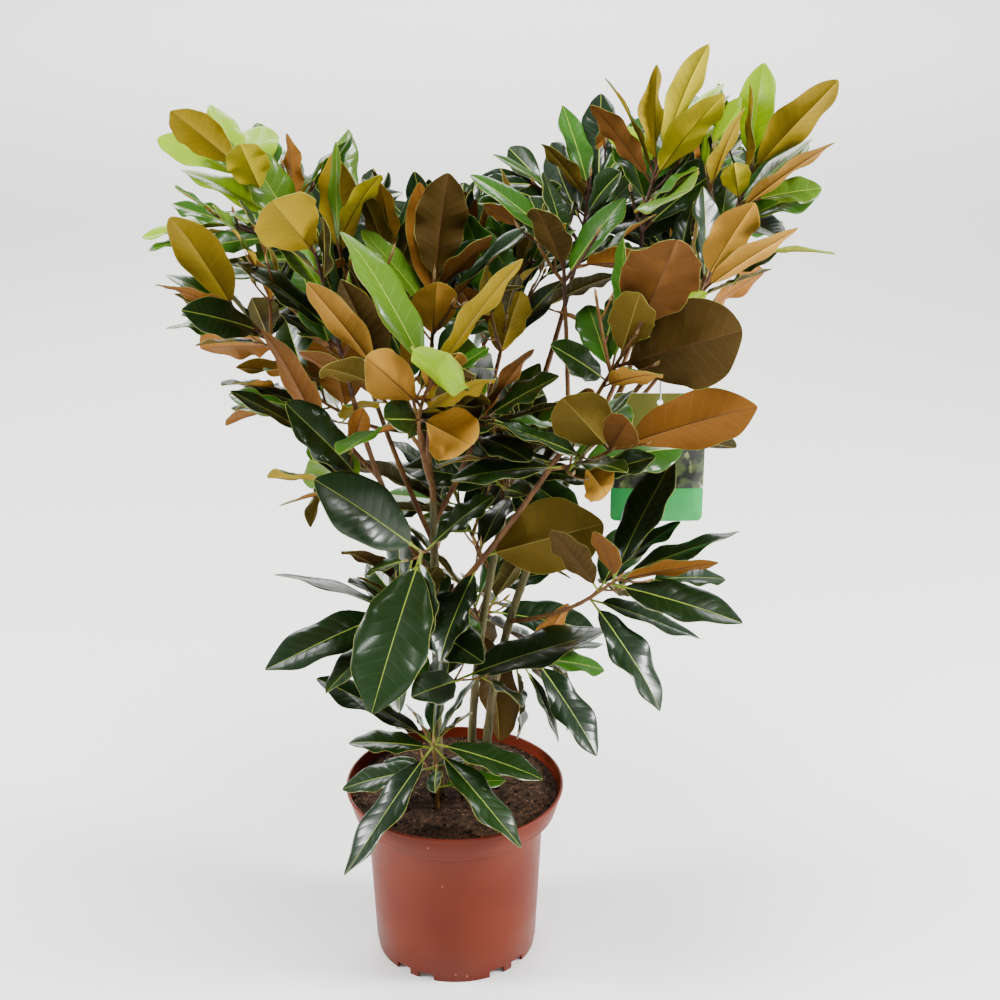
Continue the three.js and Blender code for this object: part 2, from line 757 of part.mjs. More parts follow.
// True where a leaf would hide the leading leaves, or stand out past them.
function spoilsFront({ points }, front) {
  let [hides, past] = [0, 0];
  for (const point of points) {
    const [i, j, depth] = frontCell(point);
    if (depth < (front.depths.get(`${i},${j}`) ?? -Infinity)) hides += 1;
    if (!front.beside.has(`${i},${j}`)) past += 1;
  }
  return hides > FRONT.hides * points.length || past > FRONT.past * points.length;
}

function inPot(point) {
  const radius = Math.hypot(point.x, point.y);
  if (radius > POT.rimRadius + TEST.rimClear) return false;
  const overRim = radius > POT.bodyRadius;
  return point.z < (overRim ? POT.height + TEST.rimOver : GROUND + TEST.soilOver);
}

function atLabel(point, hole) {
  const top = hole.z + LABEL.holeBelowTop + LABEL.drop;
  const bottom = hole.z + LABEL.holeBelowTop - LABEL.height;
  return Math.abs(point.x - hole.x) < LABEL.width / 2 + TEST.labelClear
    && Math.abs(point.y - hole.y) < TEST.labelClear
    && point.z < top && point.z > bottom - TEST.labelClear;
}

// True where the leaf would touch the pot, the label, a limb or another leaf.
function blocked(shape, mass, marks, placed, hole) {
  const { points, centre, reach } = shape;
  if (points.some((point) => inPot(point) || atLabel(point, hole))) return true;
  for (const mark of marks) {
    if (mark.point.distanceTo(centre) > reach + TEST.nearLimb) continue;
    const kin = mark.owner === mass.name || mark.owner === mass.on;
    const clear = mark.owner === mass.name ? TEST.ownStemClear : mark.radius + TEST.limbClear;
    for (let i = kin ? ROOT_POINTS : 0; i < points.length; i += 1) {
      if (points[i].distanceToSquared(mark.point) < clear * clear) return true;
    }
  }
  for (const other of placed) {
    const own = other.mass === mass.name;
    const clear = own ? TEST.ownLeafClear : TEST.leafClear;
    if (other.centre.distanceTo(centre) > reach + other.reach + clear) continue;
    const from = own ? ROOT_POINTS : 0;
    for (let i = from; i < points.length; i += 1) {
      for (let j = from; j < other.points.length; j += 1) {
        if (points[i].distanceToSquared(other.points[j]) < clear * clear) return true;
      }
    }
  }
  return false;
}

function markLimb(marks, owner, curve, radius) {
  const steps = Math.max(4, Math.ceil(span(curve) / TEST.limbStep));
  for (let i = 0; i <= steps; i += 1) {
    marks.push({ owner, point: curve.getPoint(i / steps), radius: radius(i / steps) });
  }
}

// The stem of a mass and the side twigs that find room beside it.
function shootsOf(mass, index, stem, marks) {
  const draw = chance(index);
  const shoots = [{
    curve: stem, leaves: mass.leaves, turn: mass.turn, scale: 1, first: RULE.firstLeaf,
    radius: TWIG.stemRadius, steps: TWIG.stemSteps,
  }];
  for (let j = 0; j < mass.twigs; j += 1) {
    const [place, swing, size] = [draw(), draw(), draw()];
    const t = TWIG.from + TWIG.spread * place;
    const axis = heading(stem, t);
    const bearing = mass.turn + TWIG.turn + TWIG.turnStep * j + TWIG.turnSpread * swing;
    const out = axis.clone().add(turned(sideOf(axis), axis, bearing)).normalize();
    const length = span(stem) * (TWIG.length + TWIG.lengthSpread * size);
    const start = stem.getPoint(t);
    const control = start.clone().addScaledVector(out, length / 2);
    const end = out.clone().addScaledVector(UP, TWIG.lift).normalize()
      .multiplyScalar(length / 2).add(control);
    const curve = new THREE.QuadraticBezierCurve3(start, control, end);
    const own = [];
    markLimb(own, mass.name, curve, taper(TWIG.radius));
    const tested = own.slice(Math.ceil(own.length * TWIG.rootPart));
    const meets = tested.some(({ point }) => marks.some((mark) => mark.owner !== mass.name
      && mark.point.distanceTo(point) < mark.radius + TWIG.clear));
    if (meets) continue;
    marks.push(...own);
    shoots.push({
      curve, leaves: TWIG.leaves, turn: mass.turn + TWIG.leafTurn, scale: TWIG.leafScale,
      first: TWIG.firstLeaf, radius: TWIG.radius, steps: TWIG.steps,
    });
  }
  return shoots;
}

function leadingLeaf(stem, row, change) {
  const [place, bearing, rise, roll, length, width] = row;
  const [moreBearing, moreRise, scale] = change;
  const flat = turned(new THREE.Vector3(1, 0, 0), UP, bearing + moreBearing);
  const slope = radians(rise + moreRise);
  const along = flat.clone().multiplyScalar(Math.cos(slope)).addScaledVector(UP, Math.sin(slope));
  const upright = UP.clone().multiplyScalar(Math.cos(slope)).addScaledVector(flat, -Math.sin(slope));
  const face = turned(upright, along, roll);
  return {
    base: stem.getPoint(place), along, face, side: along.clone().cross(face),
    length: length * scale, width: width * scale,
    curl: LEAF.leadingCurl, fold: LEAF.leadingFold, leading: true,
  };
}

// Leaf `k` of a shoot before any change; its six draws are taken whether or not it finds room.
function ruleLeaf(mass, shoot, k, draws, change) {
  const [turn, lean, size, girth, roll, curl] = draws;
  const [moreTurn, moreLean, scale] = change;
  const f = k / Math.max(1, shoot.leaves - 1);
  const t = shoot.first + (1 - shoot.first) * f ** RULE.crowding;
  const axis = heading(shoot.curve, t);
  const base = shoot.curve.getPoint(t);
  const bearing = shoot.turn + RULE.golden * k + (turn - 0.5) * RULE.turnSpread;
  const angle = mass.low + (mass.top - mass.low) * f ** RULE.leanPower
    + (lean - 0.5) * RULE.leanSpread;
  const length = mass.size * shoot.scale * (RULE.basalSize - RULE.sizeLoss * f * f)
    * (RULE.smallest + RULE.sizeSpread * size);
  const out = turned(sideOf(axis), axis, bearing + moreTurn);
  const slant = radians(angle + moreLean);
  const along = axis.clone().multiplyScalar(Math.cos(slant)).addScaledVector(out, Math.sin(slant))
    .addScaledVector(UP, -RULE.sag * (1 - f)).normalize();
  const low = THREE.MathUtils.clamp((RULE.lowFrom - base.z) / RULE.lowOver, 0, 1);
  const [x, y] = RULE.crownAxis;
  const inward = new THREE.Vector3(x - base.x, y - base.y, 0).normalize();
  const toward = axis.clone().multiplyScalar(1 - RULE.lowAxis * low)
    .addScaledVector(UP, RULE.up + RULE.lowUp * low)
    .addScaledVector(inward, RULE.inward * (1 - low));
  const square = toward.addScaledVector(along, -toward.dot(along)).normalize();
  const face = turned(square, along, (roll - 0.5) * RULE.rollSpread);
  return {
    base, along, face, side: along.clone().cross(face),
    length: length * scale,
    width: length * scale * (RULE.width + RULE.widthSpread * girth),
    curl: RULE.curl + RULE.curlSpread * curl * (1 - f / 2),
    fold: RULE.fold + RULE.foldSpread * roll,
    leading: false,
  };
}

// Places every leaf: the leading ones of all masses first, then the rest by the rule.
function growLeaves(stems, shoots, marks, hole) {
  const placed = [];
  let front = null;
  const place = (mass, tries, make) => {
    for (const change of tries) {
      const leaf = make(change);
      const shape = measured(leaf);
      if (front && spoilsFront(shape, front)) continue;
      if (blocked(shape, mass, marks, placed, hole)) continue;
      placed.push({ mass: mass.name, leaf, ...shape });
      return;
    }
  };
  for (const mass of MASSES) {
    for (const row of mass.leading) {
      place(mass, LEADING_TRIES, (change) => leadingLeaf(stems.get(mass.name), row, change));
    }
  }
  front = frontOf(placed);
  MASSES.forEach((mass, index) => {
    const draw = chance(RULE.seed + index);
    for (const shoot of shoots.get(mass.name)) {
      for (let k = 0; k < shoot.leaves; k += 1) {
        const draws = [draw(), draw(), draw(), draw(), draw(), draw()];
        place(mass, RULE_TRIES, (change) => ruleLeaf(mass, shoot, k, draws, change));
      }
    }
  });
  return placed;
}

// ---------------------------------------------------------------- pot, soil, label

function turnedProfile(points) {
  const profile = points.map(([radius, height]) => new THREE.Vector2(radius, height));
  return solidOf(new THREE.LatheGeometry(profile, POT.sides).rotateX(Math.PI / 2));
}

function potSolid() {
  const {
    height, rimRadius, lipRound, collarRadius, collarBottom, bodyRadius, bodyTop, baseRadius,
    wall, floor, footHeight, footWidth, hubRadius,
  } = POT;
  const pot = turnedProfile([
    [0, 0],
    [hubRadius, 0],
    [hubRadius + 2, footHeight],
    [baseRadius - footWidth, footHeight],
    [baseRadius - footWidth, 0],
    [baseRadius, 0],
    [bodyRadius, bodyTop],
    [collarRadius, collarBottom],
    [rimRadius, height - lipRound],
    [rimRadius - lipRound, height],
    [rimRadius - wall + lipRound, height],
    [rimRadius - wall, height - lipRound],
    [collarRadius - wall, collarBottom + wall],
    [bodyRadius - wall, bodyTop + wall],
    [baseRadius - wall, footHeight + floor],
    [0, footHeight + floor],
  ]);
  const middle = baseRadius - footWidth / 2;
  const width = 2 * middle * Math.tan(radians(FEET.gapWidth / 2));
  const notches = [];
  for (let i = 0; i < FEET.repeats; i += 1) {
    for (const side of [-1, 1]) {
      const angle = FEET.firstAngle + (360 / FEET.repeats) * i + side * FEET.gapOffset;
      const notch = new THREE.BoxGeometry(4 * footWidth, width, 2 * footHeight);
      notch.translate(middle, 0, 0).rotateZ(radians(angle));
      notches.push(solidOf(notch));
    }
  }
  return pot.subtract(Manifold.union(notches));
}

function soilSolid() {
  const { wall, baseRadius, bodyRadius, bodyTop, collarRadius, collarBottom } = POT;
  const inside = wall + GAP;
  const slope = (POT.rimRadius - collarRadius) / (POT.height - collarBottom);
  const edge = collarRadius + slope * (SOIL.edgeHeight - collarBottom - wall) - inside;
  return turnedProfile([
    [0, POT.footHeight + POT.floor + GAP],
    [baseRadius - inside, POT.footHeight + POT.floor + GAP],
    [bodyRadius - inside, bodyTop + wall + GAP],
    [collarRadius - inside, collarBottom + wall + GAP],
    [edge, SOIL.edgeHeight],
    [SOIL.seatRadius, SOIL.seat],
    [0, SOIL.seat],
  ]);
}

function labelSolid(hole) {
  const { width, height, corner, holeRadius, holeBelowTop, thickness } = LABEL;
  const [right, top] = [width / 2, holeBelowTop];
  const bottom = top - height;
  const shape = new THREE.Shape()
    .moveTo(-right + corner, bottom)
    .lineTo(right - corner, bottom)
    .quadraticCurveTo(right, bottom, right, bottom + corner)
    .lineTo(right, top - corner)
    .quadraticCurveTo(right, top, right - corner, top)
    .lineTo(-right + corner, top)
    .quadraticCurveTo(-right, top, -right, top - corner)
    .lineTo(-right, bottom + corner)
    .quadraticCurveTo(-right, bottom, -right + corner, bottom);
  shape.holes.push(new THREE.Path().absarc(0, 0, holeRadius, 0, 2 * Math.PI, true));
  const plate = new THREE.ExtrudeGeometry(shape, {
    depth: thickness, bevelEnabled: false, curveSegments: 4,
  });
  plate.translate(0, 0, -thickness / 2).rotateX(Math.PI / 2);
  return solidOf(plate.translate(hole.x, hole.y, hole.z));
}

// A thin ring stretched upright, through the label's hole and over the bough.
function loopSolid(hole) {
  const { ringRadius, cordRadius, holeRadius, drop, ringOver, ringSides, ringSteps } = LABEL;
  const bottom = holeRadius - cordRadius - GAP;
  const top = drop + ringOver;
  const stretch = (top - bottom) / 2 - ringRadius;
  const ring = new THREE.TorusGeometry(ringRadius, cordRadius, ringSides, ringSteps);
  ring.rotateZ(Math.PI / ringSteps);
  const position = ring.attributes.position;
  for (let i = 0; i < position.count; i += 1) {
    const [x, y, z] = [position.getX(i), position.getY(i), position.getZ(i)];
    position.setXYZ(i, z, x, y + Math.sign(y) * stretch);
  }
  return solidOf(ring.translate(hole.x, hole.y, hole.z + (top + bottom) / 2));
}

// ---------------------------------------------------------------- the whole plant

function buildTree() {
  const tree = new THREE.Group();
  tree.name = "potted_tree";
  tree.add(meshOf("pot", potSolid(), LOOK.pot));
  tree.add(meshOf("soil", soilSolid(), LOOK.soil));

  const curves = new Map();
  const marks = [];
  const limbs = [];
  for (const [name, row] of Object.entries(LIMBS)) {
    const curve = curveOf(row, curves);
    curves.set(name, curve);
    markLimb(marks, name, curve, limbRadius(row));
    tree.add(meshOf(name, seated(limbBar(row, curve, 0), limbs), LOOK.bark));
    limbs.push(limbBar(row, curve, GAP));
  }

  const hole = curves.get(LABEL.on).getPoint(LABEL.at).addScaledVector(UP, -LABEL.drop);
  tree.add(meshOf("label", labelSolid(hole), LOOK.label));
  tree.add(meshOf("label_loop", loopSolid(hole), LOOK.cord));

  const stems = new Map(MASSES.map((mass) => [mass.name, curveOf(mass, curves)]));
  for (const [name, stem] of stems) markLimb(marks, name, stem, taper(TWIG.stemRadius));
  const shoots = new Map();
  MASSES.forEach((mass, index) => {
    shoots.set(mass.name, shootsOf(mass, index, stems.get(mass.name), marks));
  });
  const placed = growLeaves(stems, shoots, marks, hole);
  for (const mass of MASSES) {
    const bars = shoots.get(mass.name)
      .map(({ curve, radius, steps }) => bar(curve, taper(radius), TWIG.sides, steps));
    const leaves = placed.filter((item) => item.mass === mass.name)
      .map((item) => leafSolid(item.leaf));
    const solid = seated(largestPiece(Manifold.union([...bars, ...leaves])), limbs);
    const look = YOUNG_MASSES.includes(mass.name) ? LOOK.youngLeaf : LOOK.leaf;
    tree.add(meshOf(`leaves_${mass.name}`, solid, look));
  }
  return tree;
}

export default buildTree();
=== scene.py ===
"""A young evergreen tree with large leathery leaves, in a round plastic nursery pot.

Sizes are in millimetres, and MM turns them into Blender's metres. +Z is up and the front looks
towards -Y; the pot stands on Z = 0 with its axis through the origin. The plant's limbs and
leaves grow by the same rule, from the same sizes and the same draws, as its solids do, and
short spurs with small leaves then fill the room that is left.
"""
import math

import bpy
import numpy as np
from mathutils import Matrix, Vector, noise
from mathutils.bvhtree import BVHTree


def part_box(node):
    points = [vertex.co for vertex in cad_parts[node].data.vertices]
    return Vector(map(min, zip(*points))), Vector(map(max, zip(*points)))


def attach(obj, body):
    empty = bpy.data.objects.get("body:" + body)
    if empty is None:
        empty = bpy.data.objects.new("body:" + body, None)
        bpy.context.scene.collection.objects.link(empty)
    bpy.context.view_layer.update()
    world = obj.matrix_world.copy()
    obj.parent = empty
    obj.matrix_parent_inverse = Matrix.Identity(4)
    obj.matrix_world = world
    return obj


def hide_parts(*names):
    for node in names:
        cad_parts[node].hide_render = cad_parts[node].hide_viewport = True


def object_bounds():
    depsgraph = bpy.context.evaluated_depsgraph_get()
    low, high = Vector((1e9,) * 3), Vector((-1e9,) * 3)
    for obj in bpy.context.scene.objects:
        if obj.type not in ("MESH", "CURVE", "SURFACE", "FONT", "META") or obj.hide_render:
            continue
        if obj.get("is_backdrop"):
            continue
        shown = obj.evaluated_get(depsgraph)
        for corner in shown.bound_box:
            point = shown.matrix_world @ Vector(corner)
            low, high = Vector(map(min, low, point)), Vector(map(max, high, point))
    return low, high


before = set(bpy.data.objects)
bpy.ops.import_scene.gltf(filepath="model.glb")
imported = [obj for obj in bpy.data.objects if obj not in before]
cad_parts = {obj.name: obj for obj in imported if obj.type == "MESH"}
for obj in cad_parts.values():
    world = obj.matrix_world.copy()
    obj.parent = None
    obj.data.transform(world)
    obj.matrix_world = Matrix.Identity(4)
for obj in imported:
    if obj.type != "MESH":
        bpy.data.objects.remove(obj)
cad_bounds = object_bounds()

MM = 0.001
ROOT = "root"
GAP = 0.3

# -------------------- pot and soil

POT = dict(
    height=205, rim_radius=120, lip_round=1.2, collar_radius=112.5, collar_bottom=176,
    body_radius=98, body_top=172, base_radius=90, wall=3, floor=3,
    foot_height=8, foot_width=4, hub_radius=28, hub_slope=2, sides=128,
)
COLLAR_SLOPE = (POT["rim_radius"] - POT["collar_radius"]) / (POT["height"] - POT["collar_bottom"])
POT_FINE = dict(
    bead_drop=4.6,       # the fine line under the lip
    bead_depth=0.5,
    bead_width=1.4,
    bead_flat=0.5,
    bead_slope=0.7,
    lip_from=25,         # the lip's round starts this many degrees up
    shoulder_round=2.6,  # the collar turns into the body with this round
    shoulder_sink=1.2,
    collar_ring=8,       # the collar is straight from this far above its bottom
    step_radius=1.2,     # a shallow step just above the feet
    step_slope=0.4,
    body_rings=[10.5, 60, 120, 169],
    body_flare=1.2,
    bevel=0.55,
    bevel_segments=2,
    bevel_angle=50,
    smooth_angle=40,
)
FEET = dict(repeats=5, first_angle=-84.6, gap_offset=26.5, gap_width=12)
SOIL = dict(
    seat=196.7, seat_radius=70, edge_height=194, fall_over=44, rings=34, sides=120,
    uneven=[(34, 1.6, 3), (9, 1.44, 9), (3.2, 1.1, 1)],  # width, height, layer of the noise
)
GROUND = SOIL["seat"] + GAP

# -------------------- limbs

# Each limb is one tapering curve. A stem with `start` stands on the soil. Any other grows on
# limb `on`, at fraction `at` of its length, up to `tip`; `bow` bends it outward and down.
LIMBS = {
    "trunk": dict(start=[-18, -8, GROUND], tip=[-19, -8, 545], radius=[5.8, 3.8], flare=2.6),
    "stem_middle": dict(start=[18, 26, GROUND], tip=[92, 72, 640], radius=[5, 3.2], flare=1.6),
    "stem_right": dict(start=[34, 10, GROUND], tip=[165, 20, 640], radius=[5.2, 3.4], flare=1.6),
    "bough_left": dict(on="trunk", at=0.735, tip=[-95, -60, 680], bow=22, radius=[3.3, 2.6]),
    "bough_left_far": dict(on="bough_left", at=0.62, tip=[-160, -30, 705], bow=10, radius=[2.5, 2.1]),
    "bough_left_top": dict(on="trunk", at=1, tip=[-112, 10, 765], radius=[3.2, 2.4]),
    "bough_left_back": dict(on="trunk", at=0.86, tip=[-105, 105, 690], bow=18, radius=[3, 2.4]),
    "bough_centre": dict(on="bough_left_top", at=0.22, tip=[-18, -30, 705], bow=0, radius=[2.8, 2.3]),
    "bough_front": dict(on="bough_left_top", at=0.1, tip=[-28, -95, 650], bow=12, radius=[2.8, 2.3]),
    "bough_inner": dict(on="trunk", at=0.93, tip=[44, 14, 672], bow=14, radius=[3, 2.3]),
    "bough_right": dict(on="trunk", at=0.63, tip=[140, -88, 684], bow=14, radius=[3.4, 2.5]),
    "bough_right_inner": dict(on="bough_right", at=0.84, tip=[113, -50, 768], bow=-10, radius=[2.4, 2.1]),
    "bough_inner_top": dict(on="stem_middle", at=1, tip=[128, 85, 770], radius=[3.1, 2.3]),
    "bough_back": dict(on="stem_middle", at=0.72, tip=[30, 140, 690], bow=16, radius=[2.9, 2.3]),
    "bough_right_top": dict(on="stem_right", at=1, tip=[190, 12, 800], radius=[3.2, 2.3]),
    "bough_right_far": dict(on="stem_right", at=0.93, tip=[250, -8, 775], bow=18, radius=[2.9, 2.3]),
    "bough_right_back": dict(on="stem_right", at=0.82, tip=[205, 112, 725], bow=16, radius=[2.8, 2.2]),
    "bough_right_side": dict(on="stem_right", at=0.88, tip=[240, 42, 705], bow=14, radius=[2.3, 2]),
    "bough_low": dict(on="stem_right", at=0.45, tip=[130, -66, 455], bow=8, radius=[2.6, 2.2]),
}

# How strongly a bough that leaves a side, or one that carries on from a tip, bends.
BEND = dict(side=0.7, onward=0.4, ground=0.5, bow=8)
FLARE_LENGTH = 0.12

# -------------------- masses of leaves

# Every mass grows from one stem that reaches from its limb to `tip`: its leaves lean out by
# `low` degrees at its foot and `top` at its tip, and `turn` is the first one's bearing.
MASSES = [
    dict(name="centre_front", on="bough_front", at=1, tip=[-12, -168, 735],
         leaves=12, size=128, turn=250, low=60, top=16, twigs=1),
    dict(name="low_front", on="trunk", at=0.865, tip=[-30, -66, 514],
         leaves=2, size=150, turn=170, low=110, top=80, twigs=0),
    dict(name="left_top", on="bough_left_top", at=1, tip=[-206, 30, 886],
         leaves=13, size=118, turn=200, low=48, top=14, twigs=2),
    dict(name="left_front", on="bough_left", at=1, tip=[-120, -120, 842],
         leaves=12, size=122, turn=150, low=62, top=16, twigs=2),
    dict(name="left_far", on="bough_left_far", at=1, tip=[-212, -20, 752],
         leaves=11, size=122, turn=120, low=60, top=16, twigs=1),
    dict(name="left_upper", on="bough_left_top", at=0.85, tip=[-112, 25, 815],
         leaves=11, size=118, turn=20, low=50, top=12, twigs=1),
    dict(name="centre_left", on="bough_left_top", at=0.55, tip=[-62, 55, 800],
         leaves=13, size=112, turn=100, low=50, top=12, twigs=2),
    dict(name="left_mid", on="bough_front", at=0.8, tip=[-66, -145, 745],
         leaves=11, size=125, turn=240, low=60, top=16, twigs=1),
    dict(name="left_low", on="bough_left", at=0.5, tip=[-132, -85, 650],
         leaves=4, size=130, turn=160, low=80, top=40, twigs=0),
    dict(name="left_back", on="bough_left_back", at=1, tip=[-155, 160, 810],
         leaves=14, size=120, turn=60, low=65, top=16, twigs=2),
    dict(name="left_back_low", on="bough_left_back", at=0.55, tip=[-150, 60, 640],
         leaves=8, size=135, turn=180, low=85, top=45, twigs=0),
    dict(name="centre_top", on="bough_centre", at=1, tip=[-14, -30, 790],
         leaves=11, size=118, turn=75, low=55, top=10, twigs=1),
    dict(name="centre_back", on="bough_back", at=1, tip=[5, 175, 752],
         leaves=14, size=120, turn=10, low=60, top=16, twigs=3),
    dict(name="inner", on="bough_inner", at=1, tip=[62, 10, 775],
         leaves=14, size=118, turn=40, low=55, top=14, twigs=2),
    dict(name="centre_mid", on="bough_inner", at=0.55, tip=[32, -48, 652],
         leaves=10, size=108, turn=300, low=70, top=25, twigs=1),
    dict(name="inner_low", on="stem_middle", at=0.74, tip=[58, 8, 590],
         leaves=11, size=112, turn=190, low=80, top=35, twigs=1),
    dict(name="right_front", on="bough_right", at=1, tip=[176, -146, 772],
         leaves=12, size=128, turn=280, low=62, top=16, twigs=2),
    dict(name="right_mid", on="bough_right", at=0.72, tip=[158, -122, 648],
         leaves=4, size=120, turn=5, low=75, top=35, twigs=1),
    dict(name="right_inner", on="bough_right_inner", at=1, tip=[110, -68, 845],
         leaves=13, size=115, turn=150, low=55, top=12, twigs=2),
    dict(name="inner_top", on="bough_inner_top", at=1, tip=[142, 92, 862],
         leaves=12, size=115, turn=190, low=55, top=14, twigs=2),
    dict(name="right_top", on="bough_right_top", at=1, tip=[204, -2, 900],
         leaves=13, size=122, turn=10, low=55, top=10, twigs=1),
    dict(name="right_far_top", on="bough_right_far", at=1, tip=[296, 18, 890],
         leaves=12, size=118, turn=330, low=50, top=12, twigs=1),
    dict(name="right_far_mid", on="bough_right_far", at=0.75, tip=[246, -72, 805],
         leaves=11, size=122, turn=300, low=55, top=16, twigs=1),
    dict(name="right_back", on="bough_right_back", at=1, tip=[240, 158, 835],
         leaves=14, size=120, turn=30, low=62, top=16, twigs=2),
    dict(name="right_side", on="bough_right_side", at=1, tip=[254, 72, 778],
         leaves=8, size=108, turn=20, low=60, top=20, twigs=1),
    dict(name="right_low", on="bough_low", at=1, tip=[168, -92, 496],
         leaves=4, size=125, turn=330, low=80, top=25, twigs=0),
    dict(name="right_leaf", on="bough_right", at=0.22, tip=[30, -22, 490],
         leaves=4, size=120, turn=30, low=90, top=70, twigs=0),
    dict(name="low_left", on="trunk", at=0.56, tip=[-62, 0, 415],
         leaves=5, size=135, turn=60, low=90, top=50, twigs=1),
    dict(name="low_middle", on="trunk", at=0.42, tip=[8, -38, 352],
         leaves=6, size=125, turn=20, low=90, top=55, twigs=0),
    dict(name="low_back", on="stem_middle", at=0.4, tip=[20, 90, 385],
         leaves=9, size=145, turn=100, low=90, top=50, twigs=1),
    dict(name="low_right", on="stem_right", at=0.32, tip=[88, 30, 345],
         leaves=6, size=130, turn=60, low=90, top=55, twigs=0),
    dict(name="back_mid", on="stem_middle", at=0.55, tip=[0, 120, 500],
         leaves=12, size=140, turn=120, low=85, top=45, twigs=1),
    dict(name="sprout", start=[-18, -44, GROUND], tip=[-21, -52, 284],
         leaves=5, size=80, turn=60, low=80, top=50, twigs=0),
]

